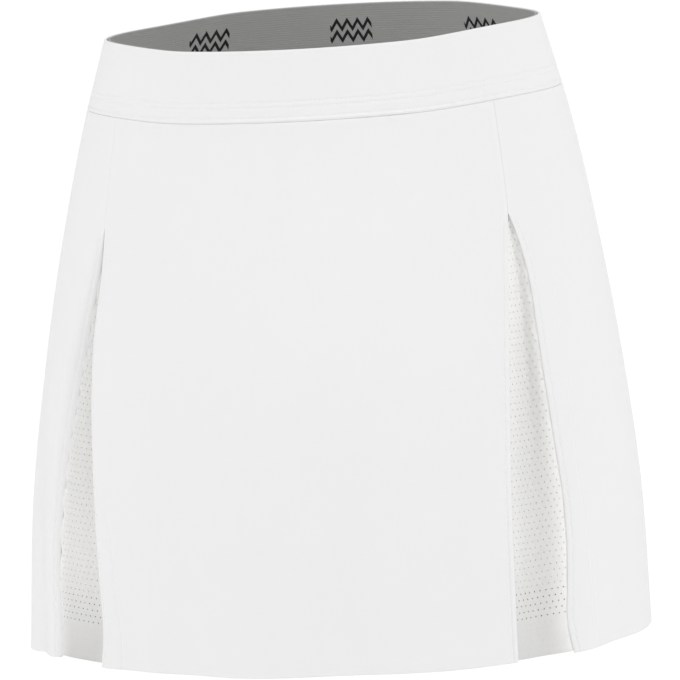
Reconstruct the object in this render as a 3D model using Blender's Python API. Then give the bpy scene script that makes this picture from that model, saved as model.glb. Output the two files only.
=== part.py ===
"""Tennis skirt in its worn form: an elastic waistband, a front panel, two side panels and a back
panel of white cloth, with a perforated mesh inset behind an open pleat at each side of the front.

Metres, +Z up. The origin is on the body's axis at the middle of the waistband's height, the front
looks along -Y and the wearer's left is +X. A place on the skirt is read as a distance along the
cloth from centre front, positive to the wearer's left, and a share of the way from rim to hem.
"""
import math
from functools import lru_cache

import bmesh
import bpy
import numpy as np

# Driving dimensions
SKIRT_LENGTH = 0.379      # rim to hem on the body's axis
BAND_HEIGHT = 0.043
BAND_WALL = 0.0018        # folded cloth, so thicker than the panels
PANEL_WALL = 0.0014
MESH_WALL = 0.0011
ELASTIC_WALL = 0.0014
SEAM_GAP = 0.00035        # between two pieces that are sewn edge to edge
LAP_GAP = 0.0006          # between two pieces that lie one behind the other
RIM_CLIMB = 0.088         # the rim rises this much for each metre towards the back
HEM_DIP = 0.008           # the hem drops this much for each metre towards the wearer's left
LEAN = 0.033              # the skirt swings this much to the wearer's right for each metre down
DIP_START = 0.60          # share of the length where the hem's dips begin to pull
FOLD_CURVE = 1.5          # power that folds and dips grow by on the way down
PLEAT_TOP = 0.290         # share of the length where the seam ends and the pleat opens
INSET_RISE = 0.012        # how far the inset carries on above the pleat's top
INSET_LAP = 0.011         # how far the inset runs behind the cloth on each side of the pleat
INSET_HEM_LIFT = 0.0010   # the inset's hem ends this much above the panels' hem
INSET_SAG = 0.22          # the inset hangs lower by this much of the depth it falls back
ELASTIC_RIM = 0.0002      # the elastic's top edge lies this far below the rim
ELASTIC_FOOT = 0.0030     # and its lower edge this far above the waistband's seam

# The body's ellipse at each height
SECTIONS = (
    # share, half width, half depth
    (0.00, 0.136, 0.095),
    (0.16, 0.153, 0.104),
    (0.33, 0.167, 0.117),
    (0.52, 0.180, 0.130),
    (0.75, 0.191, 0.137),
    (1.00, 0.195, 0.140),
)

# Half width of the front panel, along the cloth from centre front to its edge
FRONT_EDGES = (
    # share, to the wearer's left, to the wearer's right
    (0.11, 0.1244, 0.1250),
    (0.20, 0.1284, 0.1285),
    (0.29, 0.1322, 0.1318),
    (0.40, 0.1324, 0.1342),
    (0.55, 0.1329, 0.1370),
    (0.70, 0.1332, 0.1365),
    (0.85, 0.1342, 0.1338),
    (0.95, 0.1351, 0.1318),
    (1.00, 0.1357, 0.1345),
)

# How far each pleat stands open, along the cloth from the front panel to the side panel
PLEAT_OPENINGS = (
    # share, on the wearer's left, on the wearer's right
    (0.29, 0.0000, 0.0000),
    (0.34, 0.0090, 0.0032),
    (0.40, 0.0142, 0.0060),
    (0.47, 0.0196, 0.0122),
    (0.55, 0.0248, 0.0212),
    (0.65, 0.0296, 0.0300),
    (0.75, 0.0321, 0.0375),
    (0.88, 0.0338, 0.0448),
    (1.00, 0.0355, 0.0432),
)

# How far the inset falls back behind the pleat's edges, and where across the pleat it is deepest
INSET_TROUGHS = (
    # share, depth, place of the fold from the front panel (0) to the side panel (1)
    (0.27, 0.0005, 0.60),
    (0.40, 0.0040, 0.68),
    (0.60, 0.0075, 0.66),
    (0.80, 0.0095, 0.60),
    (1.00, 0.0120, 0.56),
)

# Soft folds that hang from the hips: ridges where the rise is positive, troughs where negative
FOLDS = (
    # distance round, half spread, rise at the hem, share where it starts
    (-0.072, 0.024, -0.0016, 0.45),
    (-0.030, 0.030, 0.0012, 0.40),
    (0.034, 0.026, -0.0012, 0.50),
    (0.092, 0.028, 0.0012, 0.35),
    (0.186, 0.016, 0.0020, 0.35),
    (0.216, 0.020, -0.0022, 0.42),
    (0.262, 0.026, 0.0020, 0.38),
    (0.318, 0.024, -0.0020, 0.50),
    (0.372, 0.022, 0.0030, 0.36),
    (0.418, 0.026, -0.0028, 0.44),
    (0.472, 0.028, 0.0026, 0.40),
    (-0.190, 0.012, 0.0014, 0.40),
    (-0.211, 0.014, -0.0026, 0.36),
    (-0.238, 0.018, 0.0030, 0.50),
    (-0.300, 0.024, -0.0022, 0.40),
    (-0.356, 0.026, 0.0026, 0.46),
    (-0.404, 0.022, -0.0026, 0.38),
    (-0.462, 0.030, 0.0024, 0.42),
    (0.524, 0.020, -0.0030, 0.36),
)

# Where the hem hangs lower than its level
HEM_DIPS = (
    # distance round, half spread, drop
    (-0.238, 0.030, 0.0045),
    (0.400, 0.050, 0.0020),
)

# Steps of the net that each piece is drawn on
RING_STEPS = 60
FRONT_STEPS = 22
SIDE_STEPS = 18
BACK_STEPS = 20
INSET_STEPS = 12
SEAM_ROWS = 5             # from the waistband to the pleat's top
PLEAT_ROWS = 13           # from the pleat's top to the hem
ARC_STEPS = 720           # for measuring distances round the body's ellipse
MERGE_DISTANCE = 0.00005

BAND_SHARE = BAND_HEIGHT / SKIRT_LENGTH
ARC_ANGLES = np.linspace(-math.pi, math.pi, ARC_STEPS + 1)


def reading(table, column, share):
    """One column of a table, read at any share of the length along a smooth curve."""
    rows = np.array(table)
    knots, values = rows[:, 0], rows[:, column]
    slopes = np.gradient(values, knots)
    low = int(np.clip(np.searchsorted(knots, share) - 1, 0, len(knots) - 2))
    step = knots[low + 1] - knots[low]
    s = min(max((share - knots[low]) / step, 0.0), 1.0)
    start = values[low] + (2 * values[low] + slopes[low] * step) * s
    end = values[low + 1] + (2 * values[low + 1] - slopes[low + 1] * step) * (1 - s)
    return float(start * (1 - s) ** 2 + end * s ** 2)


@lru_cache(maxsize=None)
def ellipse(share):
    """Half width and half depth at this height, and the distance round to each of ARC_ANGLES."""
    across, deep = reading(SECTIONS, 1, share), reading(SECTIONS, 2, share)
    steps = np.hypot(np.diff(across * np.sin(ARC_ANGLES)), np.diff(deep * np.cos(ARC_ANGLES)))
    distance = np.concatenate([[0.0], np.cumsum(steps)])
    return across, deep, distance - distance[-1] / 2


def half_girth(share):
    """From centre front to centre back along the cloth."""
    return float(ellipse(share)[2][-1])


def swell(along, centre, spread, share):
    """A smooth hump round the skirt: 1 at its centre, falling away over its half spread."""
    offset = abs(along - centre)
    offset = min(offset, abs(2 * half_girth(share) - offset))
    return math.exp(-(offset / spread) ** 2)


def growth(share, start):
    """0 above the share where a fold starts, rising to 1 at the hem."""
    return max((share - start) / (1 - start), 0.0) ** FOLD_CURVE


def fold_height(along, share):
    """How far the folds lift the cloth off the body's ellipse."""
    return sum(rise * growth(share, start) * swell(along, centre, spread, share)
               for centre, spread, rise, start in FOLDS)


def hem_drop(along, share):
    """How far the hem's dips pull the cloth down."""
    return sum(drop * growth(share, DIP_START) * swell(along, centre, spread, share)
               for centre, spread, drop in HEM_DIPS)


def skirt_point(along, share, depth=0.0):
    """The point this far round the skirt, at this share of its length and this far inside it."""
    across, deep, distance = ellipse(share)
    angle = float(np.interp(along, distance, ARC_ANGLES))
    normal = np.array([math.sin(angle) / across, -math.cos(angle) / deep])
    normal /= np.linalg.norm(normal)
    lift = fold_height(along, share) - depth
    x = across * math.sin(angle) + normal[0] * lift
    y = -deep * math.cos(angle) + normal[1] * lift
    rim = BAND_HEIGHT / 2 + RIM_CLIMB * y
    hem = BAND_HEIGHT / 2 - SKIRT_LENGTH - HEM_DIP * x
    z = rim + (hem - rim) * share - hem_drop(along, share)
    return x + LEAN * z, y, z


def front_edge(side, share):
    """Where the front panel ends, at the wearer's left (side 1) or right (side -1)."""
    return side * reading(FRONT_EDGES, 1 if side > 0 else 2, share)


def side_edge(side, share):
    """Where the side panel begins, across the pleat from the front panel."""
    opening = reading(PLEAT_OPENINGS, 1 if side > 0 else 2, max(share, PLEAT_TOP))
    return front_edge(side, share) + side * opening


def back_edge(side, share):
    """The back seam, as far from centre back as the front seam is from centre front."""
    return side * half_girth(share) - front_edge(side, share)


def material(name, colour, roughness):
    made = bpy.data.materials.new(name)
    made.use_nodes = True
    shader = made.node_tree.nodes["Principled BSDF"]
    shader.inputs["Base Color"].default_value = (*colour, 1.0)
    shader.inputs["Roughness"].default_value = roughness
    shader.inputs["Metallic"].default_value = 0.0
    return made


def cloth_piece(name, heights, columns, place, wall, cloth, ring=False):
    """A wall of cloth: a net of faces sent to its place on the skirt, then given its thickness.

    heights lists the shares of the length that the rows lie at, and place(across, share) gives
    the outer point for a share of the way across the piece.
    """
    mesh = bpy.data.meshes.new(name)
    net = bmesh.new()
    rows = len(heights) - 1
    bmesh.ops.create_grid(net, x_segments=columns, y_segments=rows, size=1.0)
    for vertex in net.verts:
        across = (vertex.co.x + 1) / 2
        row = round((1 - vertex.co.y) / 2 * rows)
        vertex.co = place(across, heights[row])
    if ring:
        bmesh.ops.remove_doubles(net, verts=net.verts, dist=MERGE_DISTANCE)
    for face in net.faces:
        face.smooth = True
    net.to_mesh(mesh)
    net.free()
    mesh.materials.append(cloth)
    piece = bpy.data.objects.new(name, mesh)
    bpy.context.collection.objects.link(piece)
    thickness = piece.modifiers.new("cloth wall", "SOLIDIFY")
    thickness.thickness = wall
    thickness.offset = -1.0
    return piece


def ring_piece(name, top, bottom, rows, depth, wall, cloth):
    """A band all round the skirt between two shares of its length."""
    def place(across, share):
        return skirt_point((2 * across - 1) * half_girth(share), share, depth)
    heights = np.linspace(top, bottom, rows + 1)
    return cloth_piece(name, heights, RING_STEPS, place, wall, cloth, ring=True)


def panel_piece(name, edges, heights, columns, cloth):
    """A panel between two edges, each a function of the share of the length."""
    def place(across, share):
        first, last = edges(share)
        return skirt_point(first + (last - first) * across, share)
    return cloth_piece(name, heights, columns, place, PANEL_WALL, cloth)


def panel_heights():
    """The shares that the panels' rows lie at, one of them at the pleat's top."""
    top = BAND_SHARE + SEAM_GAP / SKIRT_LENGTH
    above = np.linspace(top, PLEAT_TOP, SEAM_ROWS + 1)
    below = np.linspace(PLEAT_TOP, 1.0, PLEAT_ROWS + 1)
    return np.concatenate([above, below[1:]])


def make_waistband(cloth):
    return ring_piece("waistband", 0.0, BAND_SHARE, 3, 0.0, BAND_WALL, cloth)


def make_waistband_elastic(cloth):
    """The elastic band sewn inside the waistband, which shows inside the back of the waist."""
    top = ELASTIC_RIM / SKIRT_LENGTH
    bottom = BAND_SHARE - ELASTIC_FOOT / SKIRT_LENGTH
    depth = BAND_WALL + LAP_GAP
    return ring_piece("waistband_elastic", top, bottom, 2, depth, ELASTIC_WALL, cloth)


def make_front_panel(cloth):
    def edges(share):
        return front_edge(-1, share), front_edge(1, share)
    return panel_piece("front_panel", edges, panel_heights(), FRONT_STEPS, cloth)


def make_side_panel(side, cloth):
    def edges(share):
        ends = (side_edge(side, share) + side * SEAM_GAP, back_edge(side, share) - side * SEAM_GAP)
        return sorted(ends)
    name = "side_panel_left" if side > 0 else "side_panel_right"
    return panel_piece(name, edges, panel_heights(), SIDE_STEPS, cloth)


def make_back_panel(cloth):
    """The back runs on past half the girth at centre back, where the distance round starts again."""
    def edges(share):
        return back_edge(1, share), back_edge(-1, share) + 2 * half_girth(share)

    def place(across, share):
        first, last = edges(share)
        along = first + (last - first) * across
        if along > half_girth(share):
            along -= 2 * half_girth(share)
        return skirt_point(along, share)
    return cloth_piece("back_panel", panel_heights(), BACK_STEPS, place, PANEL_WALL, cloth)


def trough(along, first, last, share):
    """How far the inset falls back between the pleat's edges, deepest at its fold and 0 at the edges."""
    across = (along - first) / (last - first) if last != first else 0.0
    if not 0.0 < across < 1.0:
        return 0.0
    fold = reading(INSET_TROUGHS, 2, share)
    turned = across ** (math.log(0.5) / math.log(fold))
    return reading(INSET_TROUGHS, 1, share) * math.sin(math.pi * turned)


def make_mesh_inset(side, cloth):
    """The inset behind a pleat, lapped under the panels at both sides."""
    def place(across, share):
        first, last = front_edge(side, share), side_edge(side, share)
        ends = sorted((first - side * INSET_LAP, last + side * INSET_LAP))
        along = ends[0] + (ends[1] - ends[0]) * across
        fall = trough(along, first, last, share)
        return skirt_point(along, share + fall * INSET_SAG / SKIRT_LENGTH, PANEL_WALL + LAP_GAP + fall)
    top = PLEAT_TOP - INSET_RISE / SKIRT_LENGTH
    bottom = 1.0 - INSET_HEM_LIFT / SKIRT_LENGTH
    heights = np.concatenate([[top], np.linspace(PLEAT_TOP, bottom, PLEAT_ROWS + 1)])
    name = "mesh_inset_left" if side > 0 else "mesh_inset_right"
    return cloth_piece(name, heights, INSET_STEPS, place, MESH_WALL, cloth)


def main():
    for old in list(bpy.data.objects):
        bpy.data.objects.remove(old, do_unlink=True)
    white = material("white jersey", (0.86, 0.86, 0.86), 0.75)
    mesh = material("white mesh", (0.80, 0.80, 0.78), 0.80)
    grey = material("grey elastic", (0.24, 0.24, 0.235), 0.85)
    make_waistband(white)
    make_waistband_elastic(grey)
    make_front_panel(white)
    make_back_panel(white)
    for side in (1, -1):
        make_side_panel(side, white)
        make_mesh_inset(side, mesh)


main()
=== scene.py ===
import math
from functools import wraps

import bmesh
import bpy
import numpy as np
from bpy.props import FloatProperty, FloatVectorProperty, IntProperty, PointerProperty
from mathutils import Matrix, Vector


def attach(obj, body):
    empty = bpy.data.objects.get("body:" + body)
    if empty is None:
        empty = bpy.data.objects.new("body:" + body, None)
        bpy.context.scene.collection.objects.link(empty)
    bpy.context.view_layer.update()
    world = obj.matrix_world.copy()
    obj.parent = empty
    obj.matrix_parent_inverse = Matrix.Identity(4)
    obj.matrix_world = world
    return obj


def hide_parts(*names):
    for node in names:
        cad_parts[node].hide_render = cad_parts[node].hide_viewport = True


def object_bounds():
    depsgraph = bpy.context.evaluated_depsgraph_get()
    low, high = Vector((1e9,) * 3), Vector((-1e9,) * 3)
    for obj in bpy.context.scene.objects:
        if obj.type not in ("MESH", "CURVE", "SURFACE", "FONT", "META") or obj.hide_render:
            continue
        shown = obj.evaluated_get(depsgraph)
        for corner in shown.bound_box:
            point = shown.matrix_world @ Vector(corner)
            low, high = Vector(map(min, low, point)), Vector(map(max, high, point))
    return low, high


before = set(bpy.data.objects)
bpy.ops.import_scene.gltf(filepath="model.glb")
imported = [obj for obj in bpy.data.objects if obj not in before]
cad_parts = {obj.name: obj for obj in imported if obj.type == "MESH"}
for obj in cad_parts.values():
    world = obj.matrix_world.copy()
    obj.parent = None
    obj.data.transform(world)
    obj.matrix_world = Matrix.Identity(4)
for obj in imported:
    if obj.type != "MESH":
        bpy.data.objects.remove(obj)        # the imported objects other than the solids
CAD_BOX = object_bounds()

bl_info = {
    "name": "Tennis Skirt",
    "version": (1, 0, 0),
    "blender": (4, 5, 0),
    "location": "3D View > Sidebar > Skirt",
    "description": "Sews a tennis skirt: white cloth panels, perforated pleat insets, waistband, "
                   "elastic and stitching, and sets it on a pale stage",
    "category": "Add Mesh",
}

# ---------------------------------------------------------------------------------------------
# The skirt's form, in metres. The solids are drawn from the same form, with plainer pleats. The
# origin is on the body's axis at the middle of the waistband, the front looks along -Y, and the
# wearer's left is +X. A place is a distance along the cloth from centre front, positive to the
# wearer's left, and a share of the way from rim (0) to hem (1). A side is 1 for the wearer's left
# and -1 for the right.
# ---------------------------------------------------------------------------------------------
MM = 0.001
SKIRT_LENGTH = 0.379      # rim to hem on the body's axis
BAND_HEIGHT = 0.043
RIM_CLIMB = 0.088         # the rim rises this much for each metre towards the back
TIP_START = 0.50          # share of the half width from which the rim climbs less towards the back
TIP_CLIMB = 0.040         # what its climb comes to at the sides
HEM_DIP = 0.008           # the hem drops this much for each metre towards the wearer's left
LEAN = 0.033              # the skirt swings this much to the wearer's right for each metre down
DIP_START = 0.60          # share where the hem's dips begin to pull
FOLD_CURVE = 1.5          # power that folds and dips grow by on the way down
PLEAT_TOP = 0.290         # share where the seam ends and the pleat opens
INSET_RISE = 0.012        # how far the inset carries on above the pleat's top
INSET_LAP = 0.011         # how far the inset runs behind the cloth on each side of the pleat
INSET_HEM_LIFT = 0.0010   # the inset's hem ends this much above the panels' hem
INSET_SAG = 0.22          # the inset hangs lower by this much of the depth it falls back
BAND_SHARE = BAND_HEIGHT / SKIRT_LENGTH
MID_BAND = BAND_SHARE / 2
INSET_TOP = PLEAT_TOP - INSET_RISE / SKIRT_LENGTH
INSET_LENGTH = (1.0 - INSET_TOP) * SKIRT_LENGTH - INSET_HEM_LIFT

SECTIONS = (  # of the body's ellipse: share, half width, half depth
    (0.00, 0.136, 0.095), (0.16, 0.153, 0.104), (0.33, 0.167, 0.117),
    (0.52, 0.180, 0.130), (0.75, 0.191, 0.137), (1.00, 0.195, 0.140),
)
FRONT_EDGES = (  # share, half width of the front panel to the wearer's left and to the right
    (0.11, 0.1244, 0.1250), (0.20, 0.1292, 0.1285), (0.29, 0.1336, 0.1318),
    (0.36, 0.1338, 0.1350), (0.40, 0.1339, 0.1382), (0.45, 0.1340, 0.1420),
    (0.55, 0.1341, 0.1440), (0.62, 0.1339, 0.1427), (0.70, 0.1336, 0.1404),
    (0.78, 0.1337, 0.1380), (0.85, 0.1342, 0.1358), (0.95, 0.1351, 0.1334), (1.00, 0.1357, 0.1355),
)
PLEAT_OPENINGS = (  # share, how far the pleat stands open on the left and on the right
    (0.29, 0.0000, 0.0000), (0.34, 0.0080, 0.0034), (0.40, 0.0148, 0.0066),
    (0.47, 0.0193, 0.0110), (0.55, 0.0240, 0.0196), (0.65, 0.0303, 0.0305),
    (0.75, 0.0362, 0.0390), (0.82, 0.0376, 0.0436), (0.88, 0.0369, 0.0460),
    (0.95, 0.0356, 0.0456), (1.00, 0.0390, 0.0446),
)
INSET_TROUGHS = {  # side: share, depth, place of the fold from the front panel (0) to the side (1)
    1: ((0.27, 0.0005, 0.80), (0.34, 0.0024, 0.80), (0.40, 0.0036, 0.80), (0.47, 0.0045, 0.76),
        (0.55, 0.0050, 0.70), (0.62, 0.0050, 0.64), (0.70, 0.0049, 0.54), (0.75, 0.0048, 0.50),
        (0.88, 0.0046, 0.44), (1.00, 0.0036, 0.46)),
    -1: ((0.27, 0.0005, 0.30), (0.40, 0.0040, 0.22), (0.60, 0.0075, 0.18),
         (0.80, 0.0090, 0.18), (1.00, 0.0100, 0.20)),
}
TROUGH_ROUNDNESS = 2.6    # how sharply the fold turns
SHOULDER_ROUNDNESS = 2.1  # how softly it comes up to the side panel
# Painted shade on the insets' thin cloth where the fold and the skirt's shaded inside darken it, and painted
# light by the pleat's edges
INSET_PAINTED_SHADES = {  # side: share, painted shade all over, painted shade in the fold, painted light from front to side, painted light by the edge
    1: ((0.27, -0.07, 0.00, 0.00, 0.00), (0.36, -0.06, 0.06, 0.00, 0.00), (0.44, -0.025, 0.06, 0.00, 0.00),
        (0.55, 0.01, 0.09, 0.01, 0.01), (0.70, 0.025, 0.10, 0.04, 0.02), (0.82, 0.025, 0.10, 0.04, 0.03),
        (0.90, 0.07, 0.08, 0.10, 0.04), (1.00, 0.135, 0.05, 0.16, 0.04)),
    -1: ((0.27, 0.04, 0.00, 0.00, 0.00), (0.40, 0.11, 0.02, -0.01, 0.06), (0.56, 0.11, 0.02, -0.03, 0.09),
         (0.70, 0.06, 0.06, -0.03, 0.09), (0.84, 0.04, 0.06, -0.03, 0.06), (0.90, 0.07, 0.07, -0.03, 0.05),
         (1.00, 0.15, 0.11, -0.04, 0.09)),
}
PAINTED_SHADE_SPANS = {1: (0.75, 0.35), -1: (1.0, 0.7)}  # side: how fast the fold's painted shade comes in, and where it clears
EDGE_PAINTED_LIGHT_SPANS = {1: (0.75, 1.0), -1: (0.42, 0.20)}  # side: where the painted light by the pleat's edge begins, and where it is whole
PAINTED_EDGE_LIGHT = 0.09         # painted light: how much brighter the cloth is painted right beside the side panel's edge, against the thin shadow there
PAINTED_EDGE_SPAN = (0.95, 0.985)  # from and to which part of the way across that painted light grows
FOLDS = (  # distance round, half spread, rise at the hem, share where it starts
    (-0.072, 0.024, -0.0026, 0.45), (-0.030, 0.030, 0.0026, 0.40), (0.034, 0.026, -0.0024, 0.50),
    (0.092, 0.028, 0.0022, 0.35), (-0.110, 0.014, -0.0020, 0.50),
    (0.186, 0.016, 0.0020, 0.35), (0.216, 0.020, -0.0022, 0.42),
    (0.262, 0.026, 0.0020, 0.38), (0.318, 0.024, -0.0020, 0.50), (0.372, 0.022, 0.0030, 0.36),
    (0.418, 0.026, -0.0028, 0.44), (0.472, 0.028, 0.0026, 0.40), (-0.190, 0.012, 0.0014, 0.40),
    (-0.211, 0.014, -0.0026, 0.36), (-0.238, 0.018, 0.0030, 0.50), (-0.300, 0.024, -0.0022, 0.40),
    (-0.356, 0.026, 0.0026, 0.46), (-0.404, 0.022, -0.0026, 0.38), (-0.462, 0.030, 0.0024, 0.42),
    (0.524, 0.020, -0.0030, 0.36),
)
HEM_DIPS = ((-0.238, 0.030, 0.0045), (0.400, 0.050, 0.0020))  # distance round, spread, drop

# ---------------------------------------------------------------------------------------------
# The finer form that only this file has. Unless its line says otherwise, a ridge or groove of the
# cloth has three numbers: its height, its middle and its spread, in mm.
# ---------------------------------------------------------------------------------------------
# Creases where a facing ends behind the cloth
SIDE_CREASE = (  # share, distance inside the side panel's front edge on the wearer's left
    (0.30, 0.0185), (0.36, 0.0180), (0.443, 0.0173), (0.562, 0.0163), (0.668, 0.0139),
    (0.713, 0.0131), (0.779, 0.0142), (0.814, 0.0157), (0.926, 0.0200), (1.00, 0.0218),
)
FRONT_CREASE = (  # share, distance inside the front panel's edge on the wearer's right
    (0.55, 0.0165), (0.62, 0.0151), (0.70, 0.0136), (0.744, 0.0132), (0.786, 0.0141),
    (0.838, 0.0145), (0.917, 0.0154), (1.00, 0.0178),
)
CREASES = {  # side: the crease's line, the share where it starts, its depth in mm
    1: (SIDE_CREASE, 0.32, 0.26), -1: (FRONT_CREASE, 0.66, 0.30),
}
CREASE_SPREAD = 0.7 * MM
CREASE_FADE = 0.14        # share over which a crease comes in
FACING_STEP = 0.20        # mm by which the facing lifts the cloth between the edge and the crease
FACING_SLOPE = (-0.6 * MM, 2.4 * MM)  # from and to where, about the crease, that falls away
FACING_WHOLE = 6.0 * MM   # how far inside the edge it is whole

# The pleats' edges, and the stitched strip of cloth beside them
EDGE_ROLLS = {  # pleat edge: share, how far it rolls back and over what width, both in mm
    ("front", 1): ((0.29, 0.0, 3.0), (0.36, 0.3, 3.0), (1.00, 0.4, 3.0)),
    ("flank", 1): ((0.29, 0.0, 4.0), (0.36, 0.4, 5.0), (0.50, 0.8, 6.0), (0.70, 0.8, 6.0), (1.00, 0.6, 6.0)),
    ("front", -1): ((0.29, 0.0, 3.0), (0.36, 1.5, 5.0), (0.45, 3.0, 7.0), (0.60, 3.0, 7.0),
                    (0.75, 2.0, 5.0), (1.00, 2.0, 5.0)),
    ("flank", -1): ((0.29, 0.0, 6.0), (0.34, 3.0, 9.0), (0.42, 5.5, 12.0), (0.50, 7.5, 13.0),
                    (0.56, 7.5, 13.0), (0.65, 6.0, 11.0), (0.80, 4.5, 9.0), (1.00, 3.5, 7.0)),
}
STRIP = 3.4 * MM          # from a pleat's folded edge to the stitching beside it
STRIP_STARTS = (-0.004, 0.05)   # about the pleat's top, from and to which share its strip comes in
STRIP_SEWN = (PLEAT_TOP + 0.012, 1.0 - 1.2 * MM / SKIRT_LENGTH)  # shares from and to which it is sewn
STRIP_ROLL = (0.20, 1.6, 1.3)       # between a pleat's edge and its stitching
STRIP_GROOVE = (0.20, 0.14, 0.50)   # depth, how much deeper by the hem, and spread, in mm
GROOVE_DEEPENS = (0.55, 0.95)       # from and to which share
PUCKER = (0.07, 1.5)                # height and spread in mm
PUCKER_GROWS = (0.45, 0.8)          # from and to which share
PUCKER_WAVES = (0.62, 2.3)          # mm for each radian of its fine wave and of its slow one
PUCKER_BEAT = 0.4                   # how much of the fine wave the slow one takes away

# The panels' cloth, seams and folded edges
DRIFTS = (  # the cloth's unevenness: waves round the skirt, waves down it, height in mm, phase
    (5, 0.7, 0.30, 0.4), (8, -1.1, 0.22, 2.1), (13, 0.9, 0.14, 4.0), (17, 2.3, 0.08, 1.2),
    (23, -1.7, 0.06, 5.3), (31, 2.9, 0.035, 3.1), (41, -3.7, 0.025, 0.9),
)
DRIFT_CALM = (0.25, 0.12, 0.6)  # what is left of it by the waistband, shares from and to which it grows
SEAM_VALLEY = (-0.10, 0.0, 1.4)     # along a seam
SEAM_SWELL = (0.08, 5.0, 2.6)       # over its turned allowance
FOOT_VALLEY = (-0.1, 0.0, 1.2)      # right below the waistband
FOOT_SWELL = (0.12, 2.6, 1.8)       # under that
CLOTH_GAP = 0.03 * MM     # between two pieces sewn edge to edge
PANEL_TOP = BAND_SHARE + CLOTH_GAP / SKIRT_LENGTH
PANEL_LENGTH = (1.0 - PANEL_TOP) * SKIRT_LENGTH
TOP_TURN = 2.0 * MM       # cloth turned in under the waistband
FACING_GROWS = (0.25, 0.9)  # shares from and to which a facing widens, from half to its whole width
SEAM_PRESS = 0.10         # how much of a folded edge's roundness a seam leaves
TOP_PRESS = 0.35          # the same under the waistband
PRESS_SPAN = (0.5 * MM, 2.6 * MM)  # how far inside the edge that begins to ease and has eased
SEAM_OPENS = (-0.002, 0.012)       # about the pleat's top, from and to which share the seam lets go

# The waistband
COVER_ROWS = (2.9 * MM, 9.0 * MM, 12.2 * MM)  # its stitching, above its lower seam
BAND_RIDGE = (0.30, 1.5, 0.8)       # the roll of cloth above its lower seam
COVER_GROOVE = (-0.20, 0.0, 0.45)   # along a row of stitching
COVER_SWELL = (0.10, -1.3, 0.7)     # below the row
COVER_PUCKERS = (  # waves round the waist, phase, and the height, middle and spread in mm
    (190, 0.0, (0.05, 9.0, 2.0)), (57, 0.7, (0.05, 10.6, 5.0)),
)
BAND_SWAYS = ((0.06, 13, 0.0, 1.9), (0.05, 29, 40.0, 0.0))  # height in mm, waves round, down, phase
BACK_VALLEY = (-0.5, 0.0, 0.45)     # its seam at centre back
BACK_SWELL = (0.10, 3.0, 2.0)       # beside that seam
RIM_CALM = 0.012          # share of the length over which its relief comes in below the rim
BAND_FOOT = 0.35 * MM     # how far the roundness of its lower edge reaches up
BAND_FRONT = 0.6 * MM     # depth by which the relief of its outside has faded

# The elastic
WEBBING = (0.2 * MM, BAND_HEIGHT - 3.0 * MM, 1.4 * MM, 2.4 * MM)  # its top, foot, wall and depth
RIBS = (0.07, 1.45 * MM)  # height in mm, and the way from one rib to the next
RIBS_START = (2.0 * MM, 3.0 * MM)    # below the rim, where they begin and where they are whole
RIBS_END = (37.0 * MM, 38.0 * MM)    # where they fade and where they end
RIBS_DEPTH = 0.8 * MM     # how deep in the elastic its inner side begins
SELVEDGES = ((0.12, 2.4, 0.5), (0.12, 37.7, 0.5))  # height, middle below the rim and spread in mm

# The insets
LAP_GAP = 0.05 * MM       # between the insets and the panels' facings
RIPPLE = (0.35 * MM, 5.1 * MM, 9)  # the insets' fine waves: height, way across a radian, radians down
RIPPLE_GROWS = (0.35, 0.9)  # from and to which share
EDGE_PROBE = 0.1 * MM     # how far inside a panel's edge its relief is read
LEAST_PART = 1e-4         # nearest to a pleat's edge that its fold is worked out
CLOSED_PLEAT = 1e-6       # a pleat that is no wider than this is closed

# Where the cloth's rows and columns lie
ARC_STEPS = 720           # steps round the body in which the girths are worked out
SHARE_KNOTS = np.linspace(-0.02, 1.08, 221)  # the shares at which they are
# Columns inside a panel's folded edge and about a crease
EDGE_OFFSETS = np.array((0.0, 0.3, 0.6, 1.0, 1.5, 2.0, 2.45, 2.75, 2.95, 3.2, 3.55, 4.1, 5.0, 6.2)) * MM
CREASE_OFFSETS = np.array((-2.6, -1.7, -1.1, -0.7, -0.4, -0.2, 0.0, 0.2, 0.45, 0.8, 1.3, 2.0, 3.0)) * MM
FILL_STEP = 3.1 * MM      # between two columns elsewhere
END_ROWS = np.array((0.0, 0.4, 0.8, 1.3, 2.0, 2.9, 4.0, 5.4)) * MM  # from a panel's top and its hem
APEX_ROWS = np.array((-3.0, -1.5, 0.0, 1.2, 2.4, 4.0, 6.0)) * MM    # about the pleats' top
ROW_STEP = 2.4 * MM       # between two rows elsewhere
HEM_PARTS = np.array((0.03, 0.12, 0.3, 0.55, 0.8, 1.0))  # rows up the cloth turned up at the hem
FACING_PARTS = np.array((1.0, 0.7, 0.4, 0.18, 0.05))     # columns across a facing
RIM_ROWS = np.array((0.0, 0.3, 0.7, 1.2, 1.9, 2.8, 4.0)) * MM       # down the waistband from its rim
COVER_OFFSETS = np.array((-1.3, -0.8, -0.4, 0.0, 0.4, 0.8)) * MM    # about its upper rows of stitching
# Up from the waistband's foot
FOOT_ROWS = np.array((4.6, 3.8, 3.3, 2.9, 2.55, 2.2, 1.8, 1.45, 1.1, 0.75, 0.4, 0.15, 0.0)) * MM
PLEAT_PARTS = np.linspace(0.0, 1.0, 49)      # parts of the way across a pleat
FOLD_ANGLES = np.linspace(math.pi, 0.0, 6)   # round a folded edge
INSET_LEVELS = np.linspace(INSET_TOP, 1.0, 200)  # shares at which an inset's width is worked out
RIB_ROWS = 109            # rows up the elastic's inside

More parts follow.
